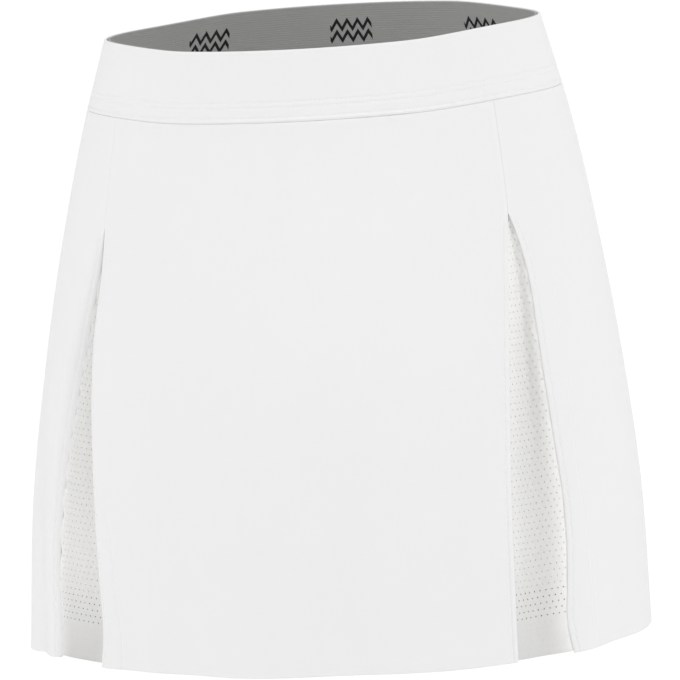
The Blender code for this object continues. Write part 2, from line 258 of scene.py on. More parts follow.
# The mesh
DIMPLE = 0.12 * MM        # how deep the holes show in the doubled hem
PIT = 0.55 * MM           # how deep they are just above it
PIT_PAINTED_SHADE = 0.45          # painted shade: how bright the cloth is painted in them, for the shade behind the closed holes
PIT_BEVEL = 0.12          # how far their floor stands in from their rim, as a share of their radius
HOLE_FREE_ROWS = 6        # rows of the net in the doubled hem, where the holes are only dimples
PIT_ROWS = 11             # rows up to which the holes are closed behind
HOLE_CLEARANCE = 0.95 * MM  # between a panel's edge and the nearest holes' middles
CELL_RIM = 0.02           # share of a cell along each side of it that belongs to the net
CELL_SLACK = 1e-9         # square metres by which a whole cell's area may be off
HEM_CUTS = 6              # cuts across the net where it folds round the hem
SHARP_TURN = 0.7          # radians between two faces that the shading keeps apart

# The thread
STITCH_HALF = 0.43        # half of a stitch, as a share of the way between two needle holes
THREAD_LIFT = 0.1         # how far its middle stands off the cloth, as a share of its width
PROBE = 0.4 * MM          # step that shows which way the cloth runs under it

# The stage
FLOOR_RADIUS = 40.0
FLOOR_SIDES = 96
# The soft lights: name, share of the stage's strength, spread, azimuth and height (degrees)
SUNS = (
    ("left light", 1.00, 36.0, -60.0, 35.0),
    ("right light", 1.03, 36.0, 80.0, 35.0),
    ("front light", 0.36, 36.0, 11.0, 35.0),
    ("back light", 0.30, 50.0, 170.0, 50.0),
)
CAMERA = {
    "azimuth": 11.37, "elevation": 7.50, "roll": 3.61, "distance": 2.45, "lens": 208.19, "sensor": 36.0,
    "target": (-0.0004, 0.0, -0.1685), "shift": (0.0021, -0.0144),
}


class SkirtSizes(bpy.types.PropertyGroup):
    """Sizes of the cloth and its sewing."""
    cloth_wall: FloatProperty(
        name="Cloth thickness", description="One layer of the white cloth",
        default=0.0004, min=0.0002, max=0.0008, precision=5, unit="LENGTH")
    layer_gap: FloatProperty(
        name="Layer gap", description="Air between two layers of a folded edge",
        default=0.00003, min=0.0, max=0.0003, precision=5, unit="LENGTH")
    band_wall: FloatProperty(
        name="Waistband thickness", description="The folded waistband, both layers together",
        default=0.0017, min=0.001, max=0.0018, precision=5, unit="LENGTH")
    facing: FloatProperty(
        name="Facing", description="Cloth turned in behind each pleat's edge at the hem",
        default=0.014, min=0.004, max=0.024, unit="LENGTH")
    hem_turn: FloatProperty(
        name="Hem allowance", description="Cloth turned up inside the hem",
        default=0.019, min=0.004, max=0.030, unit="LENGTH")
    mesh_wall: FloatProperty(
        name="Mesh thickness", description="One layer of the perforated mesh",
        default=0.00045, min=0.0002, max=0.0008, precision=5, unit="LENGTH")
    hole_across: FloatProperty(
        name="Hole spacing across", description="From one hole to the next in a row",
        default=0.0038, min=0.002, max=0.006, precision=4, unit="LENGTH")
    hole_down: FloatProperty(
        name="Hole spacing down", description="From one row of holes to the next",
        default=0.00385, min=0.002, max=0.006, precision=5, unit="LENGTH")
    hole_radius: FloatProperty(
        name="Hole radius", description="Half the width of one hole of the mesh",
        default=0.00043, min=0.0002, max=0.0009, precision=5, unit="LENGTH")
    stitch: FloatProperty(
        name="Stitch length", description="From one needle hole to the next",
        default=0.0026, min=0.0015, max=0.005, precision=4, unit="LENGTH")
    thread: FloatProperty(
        name="Thread width", description="Width of the sewing thread on the cloth",
        default=0.00034, min=0.0002, max=0.0008, precision=5, unit="LENGTH")


class SkirtFinish(bpy.types.PropertyGroup):
    """Colours and weave of each cloth."""
    jersey: FloatVectorProperty(
        name="Jersey", description="The white cloth of the panels and the waistband",
        default=(0.79, 0.79, 0.79), min=0.0, max=1.0, subtype="COLOR")
    mesh: FloatVectorProperty(
        name="Mesh", description="The perforated cloth behind the pleats",
        default=(0.81, 0.806, 0.791), min=0.0, max=1.0, subtype="COLOR")
    elastic: FloatVectorProperty(
        name="Elastic", description="Ground colour of the woven elastic",
        default=(0.35, 0.35, 0.34), min=0.0, max=1.0, subtype="COLOR")
    figure: FloatVectorProperty(
        name="Woven figure", description="The zigzag woven into the elastic",
        default=(0.007, 0.007, 0.007), min=0.0, max=1.0, subtype="COLOR")
    thread: FloatVectorProperty(
        name="Thread", description="The sewing thread",
        default=(0.84, 0.84, 0.84), min=0.0, max=1.0, subtype="COLOR")
    loop_width: FloatProperty(
        name="Knit loop width", description="Width of one loop of the jersey",
        default=0.00062, min=0.0002, max=0.002, precision=5, unit="LENGTH")
    figure_repeats: IntProperty(
        name="Woven figures", description="How often the figure comes round the waist",
        default=8, min=0, max=24)


class SkirtStage(bpy.types.PropertyGroup):
    """The floor and the light."""
    floor_drop: FloatProperty(
        name="Floor below hem", description="How far the floor lies below the hem",
        default=0.22, min=0.0, max=1.0, unit="LENGTH")
    floor_colour: FloatVectorProperty(
        name="Floor", description="Colour of the pale floor",
        default=(0.93, 0.93, 0.93), min=0.0, max=1.0, subtype="COLOR")
    sky: FloatProperty(
        name="Room light", description="Strength of the even light from all round",
        default=0.60, min=0.0, max=4.0)
    key: FloatProperty(
        name="Soft lights", description="Strength of the broad lights at the sides and the front",
        default=1.04, min=0.0, max=5.0)


# ---------------------------------------------------------------------------------------------
# Places on the skirt, for whole arrays of points at once
# ---------------------------------------------------------------------------------------------
def reading(table, column, share):
    """One column of a table, read at any share of the length along a smooth curve."""
    rows = np.array(table)
    knots, values = rows[:, 0], rows[:, column]
    slopes = np.gradient(values, knots)
    low = np.clip(np.searchsorted(knots, share) - 1, 0, len(knots) - 2)
    step = knots[low + 1] - knots[low]
    s = np.clip((share - knots[low]) / step, 0.0, 1.0)
    start = values[low] + (2 * values[low] + slopes[low] * step) * s
    end = values[low + 1] + (2 * values[low + 1] - slopes[low + 1] * step) * (1 - s)
    return start * (1 - s) ** 2 + end * s ** 2


def arc_table():
    """Half the girth at each of SHARE_KNOTS, and the angle at even steps along the cloth."""
    angles = np.linspace(-math.pi, math.pi, ARC_STEPS + 1)
    girths, table = [], []
    for share in SHARE_KNOTS:
        across, deep = reading(SECTIONS, 1, share), reading(SECTIONS, 2, share)
        steps = np.hypot(np.diff(across * np.sin(angles)), np.diff(deep * np.cos(angles)))
        distance = np.concatenate([[0.0], np.cumsum(steps)])
        distance -= distance[-1] / 2
        girths.append(distance[-1])
        even = np.linspace(distance[0], distance[-1], ARC_STEPS + 1)
        table.append(np.interp(even, distance, angles))
    return np.array(girths), np.array(table)


HALF_GIRTHS, ANGLES = arc_table()


def half_girth(share):
    """From centre front to centre back along the cloth."""
    return np.interp(share, SHARE_KNOTS, HALF_GIRTHS)


def body_angle(along, share):
    """The angle round the body's ellipse at a distance along the cloth."""
    level = (share - SHARE_KNOTS[0]) / (SHARE_KNOTS[1] - SHARE_KNOTS[0])
    place = (along / half_girth(share) + 1) / 2 * ARC_STEPS
    row = np.clip(np.floor(level).astype(int), 0, len(SHARE_KNOTS) - 2)
    column = np.clip(np.floor(place).astype(int), 0, ARC_STEPS - 1)
    s, t = level - row, place - column
    upper = ANGLES[row, column] * (1 - t) + ANGLES[row, column + 1] * t
    lower = ANGLES[row + 1, column] * (1 - t) + ANGLES[row + 1, column + 1] * t
    return upper * (1 - s) + lower * s


def around(along, share):
    """A distance past centre back, read as one from the other side of centre front."""
    half = half_girth(share)
    return (along + half) % (2 * half) - half


def swell(along, centre, spread, share):
    """A smooth hump round the skirt: 1 at its centre, falling away over its half spread."""
    offset = np.abs(along - centre)
    offset = np.minimum(offset, np.abs(2 * half_girth(share) - offset))
    return np.exp(-(offset / spread) ** 2)


def growth(share, start):
    """0 above the share where a fold starts, rising to 1 at the hem."""
    return np.maximum((share - start) / (1 - start), 0.0) ** FOLD_CURVE


def ease(value, start, end):
    """0 before start, 1 after end, smooth between."""
    s = np.clip((value - start) / (end - start), 0.0, 1.0)
    return s * s * (3 - 2 * s)


def bell(value, centre, spread):
    """1 at the centre, falling smoothly to 0 at both sides."""
    return np.exp(-((value - centre) / spread) ** 2)


def skirt_points(along, share, depth=0.0):
    """The points this far round the skirt, at this share of its length, this far inside it."""
    given = (np.asarray(values, float) for values in (along, share, depth))
    along, share, depth = np.broadcast_arrays(*given)
    along = around(along, share)
    across, deep = reading(SECTIONS, 1, share), reading(SECTIONS, 2, share)
    angle = body_angle(along, share)
    sine, cosine = np.sin(angle), np.cos(angle)
    out_x, out_y = sine / across, -cosine / deep
    size = np.hypot(out_x, out_y)
    lift = -depth
    for centre, spread, rise, start in FOLDS:
        lift = lift + rise * growth(share, start) * swell(along, centre, spread, share)
    x = across * sine + out_x / size * lift
    y = -deep * cosine + out_y / size * lift
    climb = RIM_CLIMB + (TIP_CLIMB - RIM_CLIMB) * ease(np.abs(sine), TIP_START, 1.0)
    rim = BAND_HEIGHT / 2 + climb * y
    hem = BAND_HEIGHT / 2 - SKIRT_LENGTH - HEM_DIP * x
    z = rim + (hem - rim) * share
    for centre, spread, drop in HEM_DIPS:
        z = z - drop * growth(share, DIP_START) * swell(along, centre, spread, share)
    return np.stack([x + LEAN * z, y, z], axis=-1)


def front_edge(side, share):
    """Where the front panel ends, at the wearer's left (side 1) or right (side -1)."""
    return side * reading(FRONT_EDGES, 1 if side > 0 else 2, share)


def opening(side, share):
    """How far the pleat stands open."""
    return reading(PLEAT_OPENINGS, 1 if side > 0 else 2, np.maximum(share, PLEAT_TOP))


def side_edge(side, share):
    """Where the side panel begins, across the pleat from the front panel."""
    return front_edge(side, share) + side * opening(side, share)


def back_edge(side, share):
    """The back seam, as far from centre back as the left front seam is from centre front."""
    return side * (half_girth(share) - front_edge(1, share))


def fold_over(inward, radius):
    """How far inside a folded edge, and how deep behind the cloth, a place lies that is this far
    inward of the edge along the cloth; a negative place has gone round the fold."""
    angle = np.clip((radius - inward) / radius, 0.0, math.pi)
    tail = np.maximum(radius - math.pi * radius - inward, 0.0)
    inside = np.maximum(inward, radius) - radius * np.sin(angle) + tail
    return inside, radius * (1 - np.cos(angle))


def pressed(inside, press):
    """A distance inside a folded edge once a seam has pressed the edge's roundness narrower."""
    return inside * (press + (1 - press) * ease(inside, *PRESS_SPAN))


# ---------------------------------------------------------------------------------------------
# Fine relief of the outer cloth
# ---------------------------------------------------------------------------------------------
def hump(distance, shape):
    """A soft ridge or groove, in mm, from its height, middle and spread."""
    height, middle, spread = shape
    return height * bell(distance, middle * MM, spread * MM)


def drift(along, share):
    """The slight unevenness of cloth that hangs free."""
    turn = math.pi * along / half_girth(share)
    total = 0.0
    for waves, down, height, phase in DRIFTS:
        total = total + height * np.sin(waves * turn + down * 2 * math.pi * share + phase)
    calm, start, whole = DRIFT_CALM
    return total * MM * (calm + (1 - calm) * ease(share, start, whole))


def strip_relief(inside, share, open_share, phase):
    """The stitched strip beside a pleat's edge: a rounded roll, then the groove of the stitches."""
    down = share * SKIRT_LENGTH
    depth, deeper, spread = STRIP_GROOVE
    groove = (depth + deeper * ease(share, *GROOVE_DEEPENS)) * bell(inside, STRIP, spread * MM)
    fine, slow = PUCKER_WAVES
    beat = 1 - PUCKER_BEAT + PUCKER_BEAT * np.sin(down / (slow * MM) + 2 * phase)
    wave = np.sin(down / (fine * MM) + phase) * beat
    height, spread = PUCKER
    pucker = height * wave * bell(inside, STRIP, spread * MM) * ease(share, *PUCKER_GROWS)
    return (hump(inside, STRIP_ROLL) - groove + pucker) * MM * open_share


def roll_relief(inside, share, table):
    """A pleat's edge rolls softly back towards the inset."""
    drop, width = reading(table, 1, share) * MM, reading(table, 2, share) * MM
    return -drop * (1 - np.clip(inside / width, 0.0, 1.0)) ** 2


def seam_relief(inside):
    """The soft valley beside a seam, and the swelling over its turned allowance."""
    return MM * (hump(inside, SEAM_VALLEY) + hump(inside, SEAM_SWELL))


def crease_relief(inside, share, crease):
    """A crease where the facing behind the cloth ends: higher towards the edge, a thin line down."""
    table, start, depth = crease
    line = reading(table, 1, share)
    before, after = FACING_SLOPE
    step = FACING_STEP * (1 - ease(inside, line + before, line + after)) * ease(inside, 0.0, FACING_WHOLE)
    groove = depth * bell(inside, line, CREASE_SPREAD)
    return MM * ease(share, start, start + CREASE_FADE) * (step - groove)


def relief(along, share):
    """How far seams, strips, creases and unevenness lift the outer cloth."""
    along = around(along, share)
    total = drift(along, share)
    opened = ease(share, PLEAT_TOP + STRIP_STARTS[0], PLEAT_TOP + STRIP_STARTS[1])
    for side in (1, -1):
        here = side * along
        middle = side * (front_edge(side, share) + side_edge(side, share)) / 2
        front = side * front_edge(side, share) - here          # inside the front panel
        flank = here - side * side_edge(side, share)           # inside the side panel
        behind = side * back_edge(side, share) - here          # inside it from the back seam
        on_front, on_flank = (here > 0) & (here <= middle), here > middle
        for word, inside, chosen, phase in (("front", front, on_front, 0.0), ("flank", flank, on_flank, 2.0)):
            inside = np.maximum(inside, 0.0)
            near = seam_relief(inside) * (1 - opened) + strip_relief(inside, share, opened, phase + side)
            total = total + np.where(chosen, near + roll_relief(inside, share, EDGE_ROLLS[word, side]), 0.0)
        inside, chosen = (flank, on_flank) if side > 0 else (front, on_front)
        total = total + np.where(chosen, crease_relief(inside, share, CREASES[side]), 0.0)
        total = total + np.where(here > 0, seam_relief(np.abs(behind)), 0.0)
    below_band = (share - BAND_SHARE) * SKIRT_LENGTH
    return total + MM * (hump(below_band, FOOT_SWELL) + hump(below_band, FOOT_VALLEY))


def band_relief(along, share):
    """The waistband's outside: the roll above its seam, its rows of stitching and slight waves."""
    above = (BAND_SHARE - share) * SKIRT_LENGTH
    turn = math.pi * along / half_girth(share)
    total = hump(above, BAND_RIDGE)
    for row in COVER_ROWS:
        total = total + hump(above - row, COVER_GROOVE) + hump(above - row, COVER_SWELL)
    for waves, phase, shape in COVER_PUCKERS:
        total = total + np.sin(waves * turn + phase) * hump(above, shape)
    for height, waves, down, phase in BAND_SWAYS:
        total = total + height * np.sin(waves * turn + down * share + phase)
    from_back = half_girth(share) - np.abs(along)
    total = total + hump(from_back, BACK_VALLEY) + hump(from_back, BACK_SWELL)
    return total * MM * ease(share, 0.0, RIM_CALM)


def webbing_relief(along, share, depth):
    """The inside of the elastic: its ribs, and a plain selvedge along both its edges."""
    _, _, wall, outside = WEBBING
    height, pitch = RIBS
    down = share * SKIRT_LENGTH
    ribbed = ease(down, *RIBS_START) * (1 - ease(down, *RIBS_END))
    total = -height * np.cos(2 * math.pi * down / pitch) * ribbed
    for shape in SELVEDGES:
        total = total + hump(down, shape)
    return MM * total * ease(depth, outside + RIBS_DEPTH, outside + wall)


# ---------------------------------------------------------------------------------------------
# Meshes
# ---------------------------------------------------------------------------------------------
def turned_net(points, cloth_places, keep=None):
    """A bmesh grid sent to points (rows x columns x 3), its UV map the flat cloth in metres.

    keep says of each row and column of faces whether it stays.
    """
    rows, columns = points.shape[:2]
    net = bmesh.new()
    bmesh.ops.create_grid(net, x_segments=columns - 1, y_segments=rows - 1, size=1.0)
    net.verts.index_update()
    column_of, row_of = [], []
    for vertex in net.verts:
        column_of.append(round((vertex.co.x + 1) / 2 * (columns - 1)))
        row_of.append(round((1 - vertex.co.y) / 2 * (rows - 1)))
    flat = net.loops.layers.uv.new("cloth")
    dropped = []
    for face in net.faces:
        face.smooth = True
        for loop in face.loops:
            loop[flat].uv = cloth_places[row_of[loop.vert.index], column_of[loop.vert.index]]
        if keep is not None:
            row = min(row_of[corner.index] for corner in face.verts)
            column = min(column_of[corner.index] for corner in face.verts)
            if not keep[row, column]:
                dropped.append(face)
    for vertex in net.verts:
        vertex.co = points[row_of[vertex.index], column_of[vertex.index]]
    if dropped:
        bmesh.ops.delete(net, geom=dropped, context="FACES")
    return net


def face_outwards(net):
    """Turns an open sheet's faces so that most of them look away from the body's axis."""
    looking = 0.0
    for face in net.faces:
        centre = face.calc_center_median()
        looking += face.normal.dot(Vector((centre.x, centre.y, 0.0)).normalized()) * face.calc_area()
    if looking < 0:
        bmesh.ops.reverse_faces(net, faces=net.faces)


def finish_piece(net, name, cloth, wall=None):
    """Makes the bmesh an object that rides on the skirt, with its wall where it needs one."""
    mesh = bpy.data.meshes.new(name)
    net.normal_update()
    if wall is not None:
        face_outwards(net)
    net.to_mesh(mesh)
    net.free()
    mesh.materials.append(cloth)
    piece = bpy.data.objects.new(name, mesh)
    bpy.context.collection.objects.link(piece)
    if wall is not None:
        thickness = piece.modifiers.new("cloth wall", "SOLIDIFY")
        thickness.thickness = wall
        thickness.offset = -1.0
    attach(piece, "root")
    return piece


def down_places():
    """Distances down a panel from its top edge, closer together at both ends and by the apex."""
    apex = (PLEAT_TOP - PANEL_TOP) * SKIRT_LENGTH + APEX_ROWS
    upper = np.arange(END_ROWS[-1] + ROW_STEP, apex[0] - ROW_STEP / 2, ROW_STEP)
    lower = np.arange(apex[-1] + ROW_STEP, PANEL_LENGTH - END_ROWS[-1] - ROW_STEP / 2, ROW_STEP)
    return np.concatenate([END_ROWS, upper, apex, lower, PANEL_LENGTH - END_ROWS[::-1]])


def across_places(width, creases, radius):
    """Distances across a panel for each of its rows, closer together by its edges and creases."""
    edge = radius + EDGE_OFFSETS
    groups = [np.broadcast_to(edge, (len(width), len(edge)))]
    groups += [crease[:, None] + CREASE_OFFSETS for crease in creases]
    groups.append(width[:, None] - edge[None, ::-1])
    parts = [groups[0]]
    for group in groups[1:]:
        last = parts[-1][:, -1:]
        space = group[:, :1] - last
        count = max(math.ceil(space.max() / FILL_STEP) - 1, 0)
        parts.append(last + space * np.linspace(0.0, 1.0, count + 2)[None, 1:-1])
        parts.append(group)
    return np.hstack(parts)


def panel_rows(sizes):
    """A panel's rows: round the fold under the waistband, down the panel, round the hem and up
    inside it. Gives their places down the panel, their depths, their places on the flat cloth,
    and whether they lie on the panel's face."""
    radius = sizes.cloth_wall + sizes.layer_gap / 2
    hem_radius = 1.5 * sizes.cloth_wall + sizes.layer_gap / 2
    top = np.concatenate([[radius - math.pi * radius - TOP_TURN], radius - radius * FOLD_ANGLES[:-1]])
    hem_turned = hem_radius - math.pi * hem_radius - HEM_PARTS * sizes.hem_turn
    hem = np.concatenate([hem_radius - hem_radius * FOLD_ANGLES[::-1][1:], hem_turned])
    main = down_places()
    main = main[(main > radius) & (main < PANEL_LENGTH - hem_radius)]
    main = np.concatenate([[radius], main, [PANEL_LENGTH - hem_radius]])
    upper, upper_depth = fold_over(top, radius)
    lower, lower_depth = fold_over(hem, hem_radius)
    places = np.concatenate([upper, main, PANEL_LENGTH - lower])
    depths = np.concatenate([upper_depth, 0 * main, lower_depth])
    flat = np.concatenate([top, main, PANEL_LENGTH - hem])
    faced = np.concatenate([0 * top, 0 * main + 1, 0 * hem]) > 0
    return places, depths, flat, faced


def panel_columns(sizes, share, width, pleated, creases):
    """A panel's columns, for each of its rows: the facing, round its fold, across the panel, and
    the same at the other edge. Gives their places from the first edge, their depths, their places
    on the flat cloth, and whether they lie on the panel's face."""
    radius = sizes.cloth_wall + sizes.layer_gap / 2
    main = across_places(width, creases, radius)
    facing = sizes.facing * (0.5 + 0.5 * ease(share, *FACING_GROWS))[:, None]
    tail = radius - math.pi * radius - facing * FACING_PARTS[None, :]
    fold = np.broadcast_to(radius - radius * FOLD_ANGLES[:-1], (len(share), len(FOLD_ANGLES) - 1))
    turned = np.hstack([tail, fold])
    inside, fold_depth = fold_over(turned, radius)
    places = np.hstack([inside, main, width[:, None] - inside[:, ::-1]])
    opened = ease(share, PLEAT_TOP + SEAM_OPENS[0], PLEAT_TOP + SEAM_OPENS[1])
    press = [(SEAM_PRESS + (1 - SEAM_PRESS) * opened * pleat)[:, None] for pleat in pleated]
    beyond = width[:, None] - places
    places = pressed(places, press[0]) + beyond - pressed(beyond, press[1])
    depths = np.hstack([fold_depth, 0 * main, fold_depth[:, ::-1]])
    flat = np.hstack([turned, main, width[:, None] - turned[:, ::-1]])
    faced = np.ones(places.shape[1], bool)
    faced[:turned.shape[1]] = False
    faced[-turned.shape[1]:] = False
    return places, depths, flat, faced


def panel_cloth(name, sizes, cloth, edges, pleated, creases_of=None):
    """A panel of white cloth with all its edges folded in: facings at its sides, a hem turned up.

    edges(share) gives the finished edges, pleated says of the two whether they open in a pleat,
    and creases_of(share) gives the creases, as distances from the first edge.
    """
    row_places, row_depths, row_flat, row_faced = panel_rows(sizes)
    row_share = PANEL_TOP + pressed(row_places, TOP_PRESS) / SKIRT_LENGTH
    first, last = edges(row_share)
    width = last - first
    creases = creases_of(row_share) if creases_of else []
    places, depths, flat, faced = panel_columns(sizes, row_share, width, pleated, creases)
    along = first[:, None] + places
    share = np.broadcast_to(row_share[:, None], along.shape)
    points = skirt_points(along, share, depths + row_depths[:, None] - relief(along, share))
    flat_down = np.broadcast_to(row_flat[:, None], along.shape)
    # The corners, where a facing would meet the turned hem, are cut away
    on_row, on_column = row_faced[:-1] & row_faced[1:], faced[:-1] & faced[1:]
    kept = on_row[:, None] | on_column[None, :]
    net = turned_net(points, np.stack([flat + first[:, None], flat_down], axis=-1), kept)
    piece = finish_piece(net, name, cloth, sizes.cloth_wall)
    area = np.trapz(width[row_faced], row_places[row_faced])
    return piece, (float(width.max()), PANEL_LENGTH), float(area)


def profile_ring(name, cloth, downs, depths, relief_of, columns=300):
    """A closed band round the waist: its outline in section, carried all round the skirt."""
    downs, depths = np.append(downs, downs[0]), np.append(depths, depths[0])
    share = np.broadcast_to((downs / SKIRT_LENGTH)[:, None], (len(downs), columns + 1))
    turns = np.broadcast_to(np.linspace(-1.0, 1.0, columns + 1)[None, :], share.shape)
    along = turns * half_girth(share)
    depth = depths[:, None] - relief_of(along, share, depths[:, None])
    steps = np.hypot(np.diff(downs), np.diff(depths))
    flat_down = np.broadcast_to(np.concatenate([[0.0], np.cumsum(steps)])[:, None], share.shape)
    # Just short of centre back, where a place would be read as one on the other side
    end = half_girth(share) * (1 - 1e-9)
    points = skirt_points(np.clip(along, -end, end), share, depth)
    net = turned_net(points, np.stack([turns * half_girth(MID_BAND), flat_down], axis=-1))
    bmesh.ops.remove_doubles(net, verts=net.verts, dist=0.02 * MM)
    bmesh.ops.recalc_face_normals(net, faces=net.faces)
    return finish_piece(net, name, cloth)


def rounded_section(top, bottom, wall, depth, outer_rows, inner_rows, foot):
    """The outline of a flat band with rounded edges: down its outside, round, up its inside.

    foot is how far its lower edge's roundness reaches up.
    """
    radius = wall / 2
    angles = np.linspace(0.0, math.pi, 7)[1:-1]
    outer = top + radius + (bottom - top - radius - foot) * outer_rows
    inner = top + radius + (bottom - top - radius - foot) * inner_rows
    downs = np.concatenate([
        outer, bottom - foot + foot * np.sin(angles), inner[::-1], top + radius - radius * np.sin(angles)])
    depths = np.concatenate([
        0 * outer, radius * (1 - np.cos(angles)), 0 * inner + wall, radius * (1 + np.cos(angles))])
    return downs, depths + depth


def waistband_section(sizes):
    """The waistband's outline in section, with rows for its stitching and the roll at its foot."""
    foot = BAND_HEIGHT - sizes.band_wall / 2
    height = foot - BAND_FOOT
    stitched = np.concatenate([foot - row + COVER_OFFSETS for row in COVER_ROWS[:0:-1]])
    low = height - FOOT_ROWS
    upper = np.linspace(RIM_ROWS[-1], stitched[0], 10)[1:-1]
    between = np.linspace(stitched[-1], low[0], 3)[1:-1]
    outer = np.concatenate([RIM_ROWS, upper, stitched, between, low]) / height
    inner = np.linspace(0.0, 1.0, 6)
    return rounded_section(0.0, BAND_HEIGHT, sizes.band_wall, 0.0, outer, inner, BAND_FOOT)


def stitching(name, finish, rows, sizes):
    """Rows of thread lying on the cloth. Each row is (along, share, lift, upright), and an upright
    one runs down the skirt."""
    net = bmesh.new()
    half = (sizes.stitch * STITCH_HALF, sizes.thread / 2, sizes.thread / 2)
    for along, share, lift, upright in rows:
        here = skirt_points(along, share, -lift)
        across = skirt_points(along + PROBE, share, -lift) - here
        down = skirt_points(along, share + PROBE / SKIRT_LENGTH, -lift) - here
        across /= np.linalg.norm(across, axis=-1, keepdims=True)
        down /= np.linalg.norm(down, axis=-1, keepdims=True)
        out = np.cross(down, across)
        run = down if upright else across
        beside = np.cross(out, run)
        for k in range(len(here)):
            turn = Matrix.Identity(4)
            for axis, (direction, size) in enumerate(zip((run[k], beside[k], out[k]), half)):
                turn.col[axis] = (*(direction * size), 0.0)
            turn.translation = here[k] + out[k] * (sizes.thread * THREAD_LIFT)
            bmesh.ops.create_icosphere(net, subdivisions=1, radius=1.0, matrix=turn)
    for face in net.faces:
        face.smooth = True
    bmesh.ops.recalc_face_normals(net, faces=net.faces)
    return finish_piece(net, name, sewing_thread(finish))


def row_round(share, lift_of, sizes):
    """A row of stitches all round the skirt at one share of its length."""
    half = float(half_girth(share))
    count = max(int(2 * half / sizes.stitch), 1)
    along = -half + (np.arange(count) + 0.5) * (2 * half) / count
    shares = np.full(count, share)
    return along, shares, lift_of(along, shares), False


def row_down(start, end, along_of, lift_of, sizes):
    """A row of stitches down the skirt along a line."""
    count = max(int((end - start) * SKIRT_LENGTH / sizes.stitch), 1)
    share = start + (np.arange(count) + 0.5) * (end - start) / count
    along = along_of(share)
    return along, share, lift_of(along, share), True


def pleat_row(side, on_front, sizes):
    """The stitching beside one edge of a pleat: the front panel's or the side panel's."""
    def line(share):
        if on_front:
            return front_edge(side, share) - side * STRIP
        return side_edge(side, share) + side * STRIP

    return row_down(*STRIP_SEWN, line, relief, sizes)


# ---------------------------------------------------------------------------------------------
# Materials
# ---------------------------------------------------------------------------------------------
LOOP_HEIGHT = 0.8         # a knitted loop's height for its width
LOOP_SLANT = 1.3          # how far the legs of a knitted loop run down as they spread
COURSE_RELIEF = 0.28      # how much lower the knit lies between two courses
LOOP_PAINTED_SHADE = (0.05, 0.965)  # painted shade: what a loop's height adds to the brightness, and the brightness beside it
WEAVE_PAINTED_SHADE = (0.05, 0.97)  # the same painted shade for the elastic's weave
STREAKS = (  # scale along the cloth's three axes, detail, weight: streaks both ways, then soft patches
    ((90.0, 900.0, 1.0), 2.0, 1.0), ((700.0, 40.0, 1.0), 2.0, 1.0), ((22.0, 12.0, 1.0), 3.0, 1.4),
)
YARN_ROUGHNESS = 0.3      # what uneven yarn adds to the roughness
WEAVE_BUMP = 0.8          # how strongly loops or weave turn a cloth's normals
FUZZ_BUMP = 0.5           # how strongly fibre ends do
PICK = 0.9 * MM           # the elastic's weave across
RIB = 0.7 * MM            # and down
FIGURE_PHASE = 0.51       # where the woven figures begin, as a share of the way between two
FIGURE_HALF = 14.0 * MM   # half of a figure's width
FIGURE_LINES = (56.5 * MM, 63.7 * MM)  # its two lines, as ways down the elastic's outside and up inside
LINE_HALF = 1.7 * MM      # half of a line's width
ZIG_WIDTH = 3.5 * MM      # from one corner of the zigzag to the next
ZIG_SHIFT = 50.0 * MM     # moves its corners round the waist
ZIG_SLOPE = 1.6           # how far it rises for each step across


